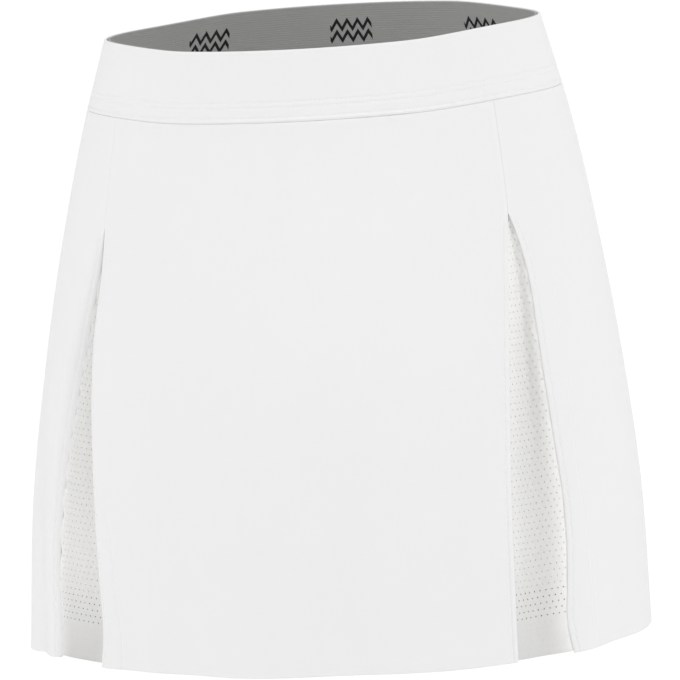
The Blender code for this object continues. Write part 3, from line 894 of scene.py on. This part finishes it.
class Wiring:
    """Short calls for the nodes of one tree."""

    def __init__(self, tree):
        self.tree = tree

    def add(self, kind, inputs=(), **options):
        """A node of this kind. Its inputs are numbers, colours or other nodes' outputs, in order
        or by name."""
        made = self.tree.nodes.new(kind)
        for key, value in options.items():
            setattr(made, key, value)
        pairs = inputs.items() if isinstance(inputs, dict) else enumerate(inputs)
        for key, value in pairs:
            self.set(made.inputs[key], value)
        return made

    def set(self, socket, value):
        """Links an output to the socket, or gives it a number or colour. None leaves it alone."""
        if isinstance(value, bpy.types.NodeSocket):
            self.tree.links.new(value, socket)
        elif value is not None:
            socket.default_value = value

    def math(self, operation, *inputs, clamp=False):
        """One step of arithmetic."""
        return self.add("ShaderNodeMath", inputs, operation=operation, use_clamp=clamp).outputs[0]

    def group(self, tree, inputs):
        """A node that stands for a node group."""
        return self.add("ShaderNodeGroup", inputs, node_tree=tree)

    def shade(self, colour, factor):
        """A colour times a number."""
        made = self.add("ShaderNodeVectorMath", [colour], operation="MULTIPLY")
        self.set(made.inputs[1], factor)
        return made.outputs[0]

    def mix(self, factor, first, second):
        """The first colour where the factor is 0, the second where it is 1."""
        made = self.add("ShaderNodeMix", [factor], data_type="RGBA")
        self.set(made.inputs[6], first)
        self.set(made.inputs[7], second)
        return made.outputs[2]

    def bump(self, height, distance, strength, normal=None):
        """Normals that follow a height."""
        inputs = {"Height": height, "Distance": distance, "Strength": strength, "Normal": normal}
        return self.add("ShaderNodeBump", inputs).outputs[0]

    def flat_cloth(self):
        """The place on the piece's cloth before it was sewn, in metres."""
        return self.add("ShaderNodeUVMap", uv_map="cloth").outputs[0]

    def own_space(self):
        """The place in the piece's own space."""
        return self.add("ShaderNodeTexCoord").outputs["Object"]

    def noise(self, place, scale, detail, roughness=0.5):
        """A noise from 0 to 1 at a place."""
        inputs = {"Vector": place, "Scale": scale, "Detail": detail, "Roughness": roughness}
        return self.add("ShaderNodeTexNoise", inputs).outputs["Fac"]

    def cloth_normals(self, height, depth, fuzz_scale, fuzz_depth):
        """Normals of a cloth: its loops or weave, with fibre ends over them."""
        fuzz = self.group(fuzz_group(), {"Scale": fuzz_scale})
        return self.bump(fuzz.outputs["Height"], fuzz_depth, FUZZ_BUMP, self.bump(height, depth, WEAVE_BUMP))

    def yarn_roughness(self, yarn, roughness):
        """The roughness of a cloth, uneven with its yarn."""
        return self.math("MULTIPLY_ADD", yarn.outputs["Variation"], YARN_ROUGHNESS, roughness, clamp=True)

    def speckled(self, colour, scale, spread, least):
        """A colour that a noise on the piece shades, from the least factor up, and the noise."""
        noise = self.noise(self.own_space(), scale, detail=2.0)
        return self.shade(tuple(colour), self.math("MULTIPLY_ADD", noise, spread, least)), noise


def made_once(store, name):
    """Has a function make the node group or material of this name on its first call only."""
    def wrap(make):
        @wraps(make)
        def give(*inputs):
            return getattr(bpy.data, store).get(name) or make(name, *inputs)
        return give
    return wrap


def new_group(name, inputs, outputs):
    """A shader node group with named sockets: (name, kind, default) in, (name, kind) out."""
    group = bpy.data.node_groups.new(name, "ShaderNodeTree")
    for label, kind, default in inputs:
        socket = group.interface.new_socket(name=label, in_out="INPUT", socket_type=kind)
        if default is not None:
            socket.default_value = default
    for label, kind in outputs:
        group.interface.new_socket(name=label, in_out="OUTPUT", socket_type=kind)
    wires = Wiring(group)
    return group, wires, wires.add("NodeGroupInput"), wires.add("NodeGroupOutput")


@made_once("node_groups", "knit loops")
def knit_group(name):
    """Loops of a knit, two legs to each, on the flat cloth's own coordinates: their height, and painted shade
    that follows it.
    """
    group, wires, taken, given = new_group(
        name,
        [("Cloth", "NodeSocketVector", None), ("Loop width", "NodeSocketFloat", 0.6 * MM),
         ("Loop height", "NodeSocketFloat", 0.5 * MM)],
        [("Height", "NodeSocketFloat"), ("Shade", "NodeSocketFloat")])
    cloth = wires.add("ShaderNodeSeparateXYZ", [taken.outputs["Cloth"]])
    across = wires.math("DIVIDE", cloth.outputs["X"], taken.outputs["Loop width"])
    down = wires.math("DIVIDE", cloth.outputs["Y"], taken.outputs["Loop height"])
    beside = wires.math("ABSOLUTE", wires.math("SUBTRACT", wires.math("FRACT", across), 0.5))
    leg = wires.math("SINE", wires.math("MULTIPLY", beside, 2 * math.pi))
    slant = wires.math("ADD", down, wires.math("MULTIPLY", beside, LOOP_SLANT))
    course = wires.math("SINE", wires.math("MULTIPLY", slant, 2 * math.pi))
    course = wires.math("MULTIPLY_ADD", course, COURSE_RELIEF, 1 - COURSE_RELIEF)
    height = wires.math("MULTIPLY", leg, course)
    wires.set(given.inputs["Height"], height)
    wires.set(given.inputs["Shade"], wires.math("MULTIPLY_ADD", height, *LOOP_PAINTED_SHADE))
    return group


@made_once("node_groups", "yarn variation")
def yarn_group(name):
    """Uneven yarn: faint streaks along and across the cloth, and broad soft patches."""
    group, wires, taken, given = new_group(
        name,
        [("Cloth", "NodeSocketVector", None), ("Colour", "NodeSocketColor", (0.8, 0.8, 0.8, 1.0)),
         ("Amount", "NodeSocketFloat", 0.02)],
        [("Colour", "NodeSocketColor"), ("Variation", "NodeSocketFloat")])
    total = 0.0
    for scale, detail, weight in STREAKS:
        stretched = wires.add("ShaderNodeMapping", {"Vector": taken.outputs["Cloth"], "Scale": scale})
        noise = wires.noise(stretched.outputs[0], 1.0, detail)
        total = wires.math("MULTIPLY_ADD", noise, weight, total)
    whole = sum(weight for _, _, weight in STREAKS)
    centred = wires.math("SUBTRACT", wires.math("DIVIDE", total, whole), 0.5)
    factor = wires.math("MULTIPLY_ADD", centred, taken.outputs["Amount"], 1.0)
    wires.set(given.inputs["Colour"], wires.shade(taken.outputs["Colour"], factor))
    wires.set(given.inputs["Variation"], centred)
    return group


@made_once("node_groups", "fibre fuzz")
def fuzz_group(name):
    """Fine fibre ends, as a height, in the piece's own space."""
    group, wires, taken, given = new_group(
        name, [("Scale", "NodeSocketFloat", 3000.0)], [("Height", "NodeSocketFloat")])
    noise = wires.noise(wires.own_space(), taken.outputs["Scale"], detail=3.0, roughness=0.7)
    wires.set(given.inputs["Height"], noise)
    return group


def new_material(name, roughness, sheen, sheen_roughness, specular):
    """A new material with the even settings of its shader, its wiring and the shader."""
    made = bpy.data.materials.new(name)
    made.use_nodes = True
    shader = made.node_tree.nodes["Principled BSDF"]
    shader.inputs["Roughness"].default_value = roughness
    shader.inputs["Sheen Weight"].default_value = sheen
    shader.inputs["Sheen Roughness"].default_value = sheen_roughness
    shader.inputs["Specular IOR Level"].default_value = specular
    shader.inputs["Metallic"].default_value = 0.0
    return made, Wiring(made.node_tree), shader


def knit_cloth(name, colour, loop, depth, roughness, unevenness, shaded_by=None):
    """A knitted cloth: loops, fibre fuzz and uneven yarn; an attribute may paint shade on it in places."""
    made, wires, shader = new_material(name, roughness, sheen=0.12, sheen_roughness=0.45, specular=0.22)
    place = wires.flat_cloth()
    loops = wires.group(knit_group(), {"Cloth": place, "Loop width": loop, "Loop height": loop * LOOP_HEIGHT})
    yarn = wires.group(yarn_group(), {"Cloth": place, "Colour": (*colour, 1.0), "Amount": unevenness})
    # Painted shade that follows the loops' height
    shaded = wires.shade(yarn.outputs["Colour"], loops.outputs["Shade"])
    if shaded_by is not None:
        # Painted shade and light from the attribute
        shade = wires.add("ShaderNodeVertexColor", layer_name=shaded_by)
        shaded = wires.shade(shaded, shade.outputs["Color"])
    normals = wires.cloth_normals(loops.outputs["Height"], depth, fuzz_scale=2600.0, fuzz_depth=depth * 0.4)
    wires.set(shader.inputs["Base Color"], shaded)
    wires.set(shader.inputs["Roughness"], wires.yarn_roughness(yarn, roughness))
    wires.set(shader.inputs["Normal"], normals)
    return made


@made_once("materials", "white jersey")
def jersey(name, finish):
    """The smooth white knit of the panels and the waistband."""
    return knit_cloth(name, finish.jersey, loop=finish.loop_width, depth=0.06 * MM, roughness=0.78,
                      unevenness=0.035)


@made_once("materials", "white mesh")
def mesh_knit(name, finish):
    """The coarser, thin knit of the insets, with painted shade and light from its shade attribute: in the
    closed holes, in the pleat's fold and by its edges.
    """
    return knit_cloth(name, finish.mesh, loop=0.9 * MM, depth=0.12 * MM, roughness=0.82, unevenness=0.06,
                      shaded_by="shade")


def woven_figure(wires, across, down, repeat):
    """Where the elastic is black: two zigzag lines in blocks, evenly round the waist."""
    turn = wires.math("ADD", wires.math("DIVIDE", across, repeat), FIGURE_PHASE)
    within = wires.math("MULTIPLY", wires.math("SUBTRACT", wires.math("FRACT", turn), 0.5), repeat)
    block = wires.math("LESS_THAN", wires.math("ABSOLUTE", within), FIGURE_HALF)
    zigzag = wires.math("PINGPONG", wires.math("ADD", within, ZIG_SHIFT), ZIG_WIDTH)
    level = wires.math("SUBTRACT", down, wires.math("MULTIPLY", zigzag, ZIG_SLOPE))
    lines = [wires.math("COMPARE", level, height, LINE_HALF) for height in FIGURE_LINES]
    return wires.math("MULTIPLY", block, wires.math("MAXIMUM", *lines))


@made_once("materials", "grey elastic")
def elastic_weave(name, finish, repeat):
    """Woven elastic: picks across the ribs, and a black figure that comes round once a repeat."""
    roughness = 0.82
    made, wires, shader = new_material(name, roughness, sheen=0.10, sheen_roughness=0.5, specular=0.25)
    place = wires.flat_cloth()
    cloth = wires.add("ShaderNodeSeparateXYZ", [place])
    across, down = cloth.outputs["X"], cloth.outputs["Y"]
    pick = wires.math("SINE", wires.math("MULTIPLY", across, 2 * math.pi / PICK))
    rib = wires.math("SINE", wires.math("MULTIPLY", down, 2 * math.pi / RIB))
    weave = wires.math("MULTIPLY", pick, rib)
    yarn = wires.group(yarn_group(), {"Cloth": place, "Colour": (*finish.elastic, 1.0), "Amount": 0.16})
    figure = woven_figure(wires, across, down, repeat)
    colour = wires.mix(figure, yarn.outputs["Colour"], (*finish.figure, 1.0))
    # Painted shade that follows the weave's height
    colour = wires.shade(colour, wires.math("MULTIPLY_ADD", weave, *WEAVE_PAINTED_SHADE))
    wires.set(shader.inputs["Base Color"], colour)
    wires.set(shader.inputs["Roughness"], wires.yarn_roughness(yarn, roughness))
    normals = wires.cloth_normals(weave, depth=0.08 * MM, fuzz_scale=2200.0, fuzz_depth=0.06 * MM)
    wires.set(shader.inputs["Normal"], normals)
    return made


@made_once("materials", "white thread")
def sewing_thread(name, finish):
    """Spun thread: a slight lustre and the twist as a fine noise."""
    made, wires, shader = new_material(name, 0.55, sheen=0.15, sheen_roughness=0.4, specular=0.35)
    colour, noise = wires.speckled(finish.thread, scale=1800.0, spread=0.08, least=0.96)
    wires.set(shader.inputs["Base Color"], colour)
    wires.set(shader.inputs["Normal"], wires.bump(noise, distance=0.06 * MM, strength=0.7))
    return made


@made_once("materials", "pale floor")
def pale_floor(name, stage):
    """The even, dull floor."""
    made, wires, shader = new_material(name, 0.9, sheen=0.0, sheen_roughness=0.5, specular=0.1)
    colour, _ = wires.speckled(stage.floor_colour, scale=3.0, spread=0.01, least=0.995)
    wires.set(shader.inputs["Base Color"], colour)
    return made


# ---------------------------------------------------------------------------------------------
# The mesh insets
# ---------------------------------------------------------------------------------------------
def pleat_fall(side, part, share):
    """How far the inset has fallen back at a part of the way from the front panel to the side."""
    place = reading(INSET_TROUGHS[side], 2, share)
    down = np.clip(part, LEAST_PART, 1.0) / place
    up = (np.clip(1.0 - part, LEAST_PART, 1.0) / (1.0 - place)) ** SHOULDER_ROUNDNESS
    sharp = TROUGH_ROUNDNESS
    return reading(INSET_TROUGHS[side], 1, share) * (2 / (down ** -sharp + up ** -sharp)) ** (1 / sharp)


def painted_fold_shade(side, part, share):
    """Painted shade and light on the inset's thin cloth, as a factor on its colour: darker in the pleat's
    fold and towards the hem, lighter by its edges.
    """
    place = reading(INSET_TROUGHS[side], 2, share)
    rise, clearing = PAINTED_SHADE_SPANS[side]
    valley = ease(part, 0.0, rise * place) * (1 - ease(part, place + clearing * (1 - place), 1.0))
    overall, folded, leaning, facing = (reading(INSET_PAINTED_SHADES[side], column, share) for column in (1, 2, 3, 4))
    begins, whole = EDGE_PAINTED_LIGHT_SPANS[side]
    # Painted light towards one of the pleat's edges, and right beside the side panel's edge
    edge_painted_light = ease((part - begins) / (whole - begins), 0.0, 1.0)
    beside = PAINTED_EDGE_LIGHT * ease(part, *PAINTED_EDGE_SPAN)
    return 1 - overall - folded * valley + leaning * (part - 0.5) + facing * edge_painted_light + beside


def pleat_girths(side, shares):
    """For each share, the length of the inset's cloth up to each of PLEAT_PARTS."""
    parts, levels = PLEAT_PARTS[None, :], shares[:, None]
    steps = np.hypot(np.diff(parts * opening(side, levels)), np.diff(pleat_fall(side, parts, levels)))
    return np.hstack([np.zeros((len(shares), 1)), np.cumsum(steps, axis=1)])


def inset_place(side, across, down, extra, sizes):
    """A place on a mesh inset: across from the front panel's edge and down from its top, folded
    up inside at its hem, and fallen back between the pleat's edges. All of them are measured on
    the cloth itself. Gives its distance round, share, depth and the painted shade of its cloth."""
    inside, fold_depth = fold_over(INSET_LENGTH - down, sizes.mesh_wall + sizes.layer_gap / 2)
    share = INSET_TOP + (INSET_LENGTH - inside) / SKIRT_LENGTH
    girths = pleat_girths(side, share)
    wide, whole = opening(side, share), girths[:, -1]
    part = np.array([np.interp(place, girth, PLEAT_PARTS) for place, girth in zip(across, girths)])
    flat = np.where(across < 0, across, np.where(across > whole, wide + across - whole, part * wide))
    fall = pleat_fall(side, part, share) * (wide > CLOSED_PLEAT)
    height, run, turns = RIPPLE
    ripple = height * np.sin(across / run + turns * share + side)
    ripple = ripple * ease(share, *RIPPLE_GROWS) * np.sin(math.pi * part) ** 2
    # Behind the panels it follows them, and between them it hangs from one edge to the other
    start, end = front_edge(side, share), side_edge(side, share)
    along = start + side * flat
    by_front, by_side = relief(start - side * EDGE_PROBE, share), relief(end + side * EDGE_PROBE, share)
    between = by_front * (1 - part) + by_side * part
    over = np.where((flat < 0) | (flat > wide), relief(along, share), between)
    stack = 2 * sizes.cloth_wall + sizes.layer_gap + LAP_GAP
    depth = stack - over + fall + ripple + fold_depth + extra
    return along, share + fall * INSET_SAG / SKIRT_LENGTH, depth, painted_fold_shade(side, part, share)


class InsetNet:
    """The net that a mesh inset is cut from, laid out flat with one cell for each hole: across
    from the front panel's edge, and down from the inset's top."""

    def __init__(self, side, sizes):
        self.side = side
        self.sizes = sizes
        self.step = (sizes.hole_across, sizes.hole_down)
        self.fold_radius = sizes.mesh_wall + sizes.layer_gap / 2
        self.girths = pleat_girths(side, INSET_LEVELS)[:, -1]
        self.net = bmesh.new()
        self.whole = {}

    def far_edge(self, down):
        """Where the cloth ends behind the side panel."""
        inside, _ = fold_over(INSET_LENGTH - down, self.fold_radius)
        share = INSET_TOP + (INSET_LENGTH - inside) / SKIRT_LENGTH
        return float(np.interp(share, INSET_LEVELS, self.girths)) + INSET_LAP

    def cell_of(self, place):
        """The column and row of the net's cell, counted up from the hem, and the place in it."""
        across, up = (place.x + INSET_LAP) / self.step[0], (INSET_LENGTH - place.y) / self.step[1]
        return (math.floor(across), math.floor(up)), across % 1.0, up % 1.0

    def stagger(self, cell):
        """How far the cell's hole stands beside the cell's middle."""
        return self.step[0] / 4 if cell[1] % 2 else -self.step[0] / 4

    def hole_cell(self, vertex):
        """The cell whose hole the vertex belongs to, if there is one."""
        cell, across, up = self.cell_of(vertex.co)
        inside = CELL_RIM < across < 1 - CELL_RIM and CELL_RIM < up < 1 - CELL_RIM
        return cell if cell in self.whole and inside else None

    def hole_row(self, part):
        """The row, up from the hem, of the hole that a face or edge belongs to, or -1."""
        cells = {self.hole_cell(vertex) for vertex in part.verts}
        cell = cells.pop() if len(cells) == 1 else None
        return cell[1] if cell else -1

    def lay_out(self):
        """Lays the net out as long and as wide as the inset."""
        columns = math.ceil((self.girths.max() + 2 * INSET_LAP) / self.step[0])
        turned = round(self.sizes.hem_turn / self.step[1])
        rows = math.ceil(INSET_LENGTH / self.step[1]) + turned
        bmesh.ops.create_grid(self.net, x_segments=columns, y_segments=rows, size=1.0)
        for vertex in self.net.verts:
            across = -INSET_LAP + round((vertex.co.x + 1) / 2 * columns) * self.step[0]
            level = INSET_LENGTH + (turned - round((1 + vertex.co.y) / 2 * rows)) * self.step[1]
            down = max(level, 0.0)
            vertex.co = (min(across, self.far_edge(down)), down, 0.0)
        bmesh.ops.remove_doubles(self.net, verts=self.net.verts, dist=0.04 * MM)

    def find_whole_cells(self):
        """Notes the cells that get a hole: whole, above the hem's fold and clear of the edges."""
        size = self.step[0] * self.step[1]
        for face in self.net.faces:
            if len(face.verts) != 4 or abs(face.calc_area() - size) >= CELL_SLACK:
                continue
            centre = face.calc_center_median()
            cell, _, _ = self.cell_of(centre)
            from_front = centre.x + self.stagger(cell)
            from_flank = self.far_edge(centre.y) - INSET_LAP - from_front
            if centre.y < INSET_LENGTH and min(abs(from_front), abs(from_flank)) > HOLE_CLEARANCE:
                self.whole[cell] = face

    def pierce(self):
        """Cuts a round hole in each of these cells. Those by the hem stay closed."""
        bmesh.ops.inset_individual(self.net, faces=list(self.whole.values()), use_even_offset=True,
                                   thickness=min(self.step) / 2 - self.sizes.hole_radius)
        holes = [face for face in self.net.faces if self.hole_row(face) >= PIT_ROWS]
        bmesh.ops.delete(self.net, geom=holes, context="FACES_ONLY")
        edges = [edge for edge in self.net.edges if self.hole_row(edge) >= 0]
        bmesh.ops.subdivide_edges(self.net, edges=edges, cuts=1)
        for vertex in self.net.verts:
            cell = self.hole_cell(vertex)
            if cell:
                across = (cell[0] + 0.5) * self.step[0] - INSET_LAP
                down = INSET_LENGTH - (cell[1] + 0.5) * self.step[1]
                centre = Vector((across, down, 0.0))
                turned = (vertex.co - centre).normalized() * self.sizes.hole_radius
                vertex.co = centre + Vector((self.stagger(cell), 0.0, 0.0)) + turned

    def floor_pits(self):
        """Gives the closed holes a floor, and paints shade into those above the doubled hem."""
        floors = [face for face in self.net.faces if self.hole_row(face) >= 0]
        bmesh.ops.inset_region(self.net, faces=floors, use_even_offset=True,
                               thickness=self.sizes.hole_radius * PIT_BEVEL)
        for vertex in {vertex for face in floors for vertex in face.verts}:
            vertex.co.z = DIMPLE if self.hole_cell(vertex)[1] < HOLE_FREE_ROWS else PIT
        shade = self.net.loops.layers.float_color.new("shade")
        # Painted shade in the closed holes above the doubled hem
        for face in self.net.faces:
            dark = HOLE_FREE_ROWS <= self.hole_row(face) < PIT_ROWS
            for loop in face.loops:
                loop[shade] = (PIT_PAINTED_SHADE if dark else 1.0,) * 3 + (1.0,)

    def hang(self):
        """Folds the net up inside at the hem and hangs it between the panels."""
        for level in np.linspace(-self.fold_radius, self.fold_radius * (math.pi - 1), HEM_CUTS):
            geometry = [*self.net.verts, *self.net.edges, *self.net.faces]
            bmesh.ops.bisect_plane(self.net, geom=geometry, dist=1e-7, plane_no=(0.0, 1.0, 0.0),
                                   plane_co=(0.0, INSET_LENGTH + level, 0.0))
        flat = self.net.loops.layers.uv.new("cloth")
        shade = self.net.loops.layers.float_color["shade"]
        places = np.array([vertex.co for vertex in self.net.verts])
        along, share, depth, brightness = inset_place(self.side, *places.T, self.sizes)
        self.net.verts.index_update()
        for face in self.net.faces:
            face.smooth = True
            for loop in face.loops:
                loop[flat].uv = loop.vert.co.xy
                # The painted shade of the closed holes, times the painted shade and light of the fold and
                # edges
                loop[shade] = [value * brightness[loop.vert.index] for value in loop[shade][:3]] + [1.0]
        for vertex, point in zip(self.net.verts, skirt_points(along, share, depth)):
            vertex.co = point
        self.net.normal_update()
        for edge in self.net.edges:
            edge.smooth = not edge.is_boundary and edge.calc_face_angle(0.0) < SHARP_TURN


# ---------------------------------------------------------------------------------------------
# The operators
# ---------------------------------------------------------------------------------------------
def settings(context):
    """The skirt's sizes, finish and stage."""
    scene = context.scene
    return scene.skirt_sizes, scene.skirt_finish, scene.skirt_stage


class SKIRT_OT_waistband(bpy.types.Operator):
    """Folds the white cloth over into the waistband and sews its three rows of stitching"""
    bl_idname = "skirt.waistband"
    bl_label = "Waistband"

    def execute(self, context):
        sizes, finish, _ = settings(context)
        downs, depths = waistband_section(sizes)

        def outside(along, share, depth):
            return band_relief(along, share) * (1 - ease(depth, 0.0, BAND_FRONT))

        cloth = profile_ring("waistband_cloth", jersey(finish), downs, depths, outside)
        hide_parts("waistband")
        rows = [row_round(BAND_SHARE - row / SKIRT_LENGTH, band_relief, sizes) for row in COVER_ROWS]
        thread = stitching("waistband_stitching", finish, rows, sizes)
        return {"FINISHED"}


class SKIRT_OT_elastic(bpy.types.Operator):
    """Weaves the ribbed elastic inside the waistband"""
    bl_idname = "skirt.elastic"
    bl_label = "Elastic"

    def execute(self, context):
        _, finish, _ = settings(context)
        top, foot, wall, depth = WEBBING
        outer, inner = np.linspace(0.0, 1.0, 6), np.linspace(0.0, 1.0, RIB_ROWS)
        downs, depths = rounded_section(top, foot, wall, depth, outer, inner, wall / 2)
        repeat = 2 * float(half_girth(MID_BAND)) / max(finish.figure_repeats, 1)
        cloth = elastic_weave(finish, repeat)
        piece = profile_ring("waistband_webbing", cloth, downs, depths, webbing_relief,
                             columns=260)
        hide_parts("waistband_elastic")
        return {"FINISHED"}


class SKIRT_OT_front(bpy.types.Operator):
    """Cuts the front panel, faces its pleat edges and stitches beside them"""
    bl_idname = "skirt.front"
    bl_label = "Front panel"

    def execute(self, context):
        sizes, finish, _ = settings(context)

        def edges(share):
            return front_edge(-1, share), front_edge(1, share)

        def creases(share):
            return [reading(FRONT_CREASE, 1, share)]

        cloth, flat, area = panel_cloth("front_cloth", sizes, jersey(finish), edges, (True, True), creases)
        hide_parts("front_panel")
        rows = [pleat_row(1, True, sizes), pleat_row(-1, True, sizes)]
        thread = stitching("front_stitching", finish, rows, sizes)
        return {"FINISHED"}


class SKIRT_OT_sides(bpy.types.Operator):
    """Cuts the two side panels, faces their pleat edges and stitches beside them"""
    bl_idname = "skirt.sides"
    bl_label = "Side panels"

    def execute(self, context):
        for side, word in ((1, "left"), (-1, "right")):
            self.side_panel(context, side, word)
        return {"FINISHED"}

    def side_panel(self, context, side, word):
        """Cuts one of them. Both run from the wearer's right to the left, so their ends swap."""
        sizes, finish, _ = settings(context)

        def edges(share):
            ends = (side_edge(side, share) + side * CLOTH_GAP, back_edge(side, share) - side * CLOTH_GAP)
            return ends[::side]

        def creases(share):
            return [reading(SIDE_CREASE, 1, share)]

        cloth, flat, area = panel_cloth(f"side_cloth_{word}", sizes, jersey(finish), edges,
                                        (True, False)[::side], creases if side > 0 else None)
        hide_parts(f"side_panel_{word}")
        thread = stitching(f"side_stitching_{word}", finish, [pleat_row(side, False, sizes)], sizes)


class SKIRT_OT_back(bpy.types.Operator):
    """Cuts the back panel"""
    bl_idname = "skirt.back"
    bl_label = "Back panel"

    def execute(self, context):
        sizes, finish, _ = settings(context)

        def edges(share):
            return back_edge(1, share), back_edge(-1, share) + 2 * half_girth(share)

        cloth, flat, area = panel_cloth("back_cloth", sizes, jersey(finish), edges, (False, False))
        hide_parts("back_panel")
        return {"FINISHED"}


class SKIRT_OT_insets(bpy.types.Operator):
    """Cuts the two perforated mesh insets and hangs them behind the pleats"""
    bl_idname = "skirt.insets"
    bl_label = "Mesh insets"

    def execute(self, context):
        for side, word in ((1, "left"), (-1, "right")):
            self.inset(context, side, word)
        return {"FINISHED"}

    def inset(self, context, side, word):
        """Cuts and hangs one of them."""
        sizes, finish, _ = settings(context)
        cut = InsetNet(side, sizes)
        cut.lay_out()
        cut.find_whole_cells()
        cut.pierce()
        cut.floor_pits()
        cut.hang()
        piece = finish_piece(cut.net, f"mesh_cloth_{word}", mesh_knit(finish), sizes.mesh_wall)
        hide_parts(f"mesh_inset_{word}")


def towards(azimuth, elevation):
    """The direction of this azimuth, from the front round to the wearer's left, and height."""
    turn, rise = math.radians(azimuth), math.radians(elevation)
    return Vector((math.sin(turn) * math.cos(rise), -math.cos(turn) * math.cos(rise), math.sin(rise)))


class SKIRT_OT_stage(bpy.types.Operator):
    """Lays the pale floor, lights the room and sets up the camera"""
    bl_idname = "skirt.stage"
    bl_label = "Stage"

    def execute(self, context):
        _, _, stage = settings(context)
        self.floor(context, stage)
        self.light(context, stage)
        self.camera(context)
        return {"FINISHED"}

    @staticmethod
    def floor(context, stage):
        """A wide round floor below the hem."""
        net = bmesh.new()
        bmesh.ops.create_circle(net, cap_ends=True, segments=FLOOR_SIDES, radius=FLOOR_RADIUS)
        level = CAD_BOX[0][2] - stage.floor_drop
        bmesh.ops.translate(net, verts=net.verts, vec=(0.0, 0.0, level))
        mesh = bpy.data.meshes.new("floor")
        net.to_mesh(mesh)
        net.free()
        mesh.materials.append(pale_floor(stage))
        floor = bpy.data.objects.new("floor", mesh)
        context.collection.objects.link(floor)

    @staticmethod
    def light(context, stage):
        """Even light from all round, and the broad lights."""
        world = bpy.data.worlds.new("room")
        world.use_nodes = True
        background = world.node_tree.nodes["Background"]
        background.inputs["Color"].default_value = (1.0, 1.0, 1.0, 1.0)
        background.inputs["Strength"].default_value = stage.sky
        context.scene.world = world
        for name, share, softness, azimuth, elevation in SUNS:
            lamp = bpy.data.lights.new(name, "SUN")
            lamp.energy = stage.key * share
            lamp.angle = math.radians(softness)
            thing = bpy.data.objects.new(name, lamp)
            thing.rotation_euler = towards(azimuth, elevation).to_track_quat("Z", "Y").to_euler()
            context.collection.objects.link(thing)
        context.scene.view_settings.view_transform = "Standard"

    @staticmethod
    def camera(context):
        """A long lens on the skirt, from its front and a little above."""
        lens = bpy.data.cameras.new("camera")
        lens.sensor_width, lens.lens = CAMERA["sensor"], CAMERA["lens"]
        lens.shift_x, lens.shift_y = CAMERA["shift"]
        turn, roll = math.radians(CAMERA["azimuth"]), math.radians(CAMERA["roll"])
        back = towards(CAMERA["azimuth"], CAMERA["elevation"])
        right = Vector((math.cos(turn), math.sin(turn), 0.0))
        up = back.cross(right)
        level = right * math.cos(roll) - up * math.sin(roll)
        upright = right * math.sin(roll) + up * math.cos(roll)
        place = Matrix.Identity(4)
        for axis, direction in enumerate((level, upright, back)):
            place.col[axis] = (*direction, 0.0)
        place.translation = Vector(CAMERA["target"]) + back * CAMERA["distance"]
        camera = bpy.data.objects.new("camera", lens)
        camera.matrix_world = place
        context.collection.objects.link(camera)
        context.scene.camera = camera


class SKIRT_PT_panel(bpy.types.Panel):
    """Lists the skirt's pieces and its stage"""
    bl_idname = "SKIRT_PT_panel"
    bl_label = "Tennis Skirt"
    bl_space_type = "VIEW_3D"
    bl_region_type = "UI"
    bl_category = "Skirt"

    def draw(self, context):
        for group in settings(context):
            box = self.layout.box()
            for key in group.bl_rna.properties.keys():
                if key not in ("rna_type", "name"):
                    box.prop(group, key)
        for operator in OPERATORS:
            self.layout.operator(operator.bl_idname)


OPERATORS = (SKIRT_OT_waistband, SKIRT_OT_elastic, SKIRT_OT_front, SKIRT_OT_sides, SKIRT_OT_back,
             SKIRT_OT_insets, SKIRT_OT_stage)
GROUPS = {"skirt_sizes": SkirtSizes, "skirt_finish": SkirtFinish, "skirt_stage": SkirtStage}


def register():
    """Adds the skirt's settings, operators and panel."""
    for made in (*GROUPS.values(), *OPERATORS, SKIRT_PT_panel):
        bpy.utils.register_class(made)
    for key, group in GROUPS.items():
        setattr(bpy.types.Scene, key, PointerProperty(type=group))


def unregister():
    """Takes them away again."""
    for key in GROUPS:
        delattr(bpy.types.Scene, key)
    for made in (SKIRT_PT_panel, *OPERATORS[::-1], *GROUPS.values()):
        bpy.utils.unregister_class(made)


def main():
    """Makes the whole skirt and its stage."""
    register()
    for operator in OPERATORS:
        group, name = operator.bl_idname.split(".")
        getattr(getattr(bpy.ops, group), name)()
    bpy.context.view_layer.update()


if __name__ == "__main__":
    main()
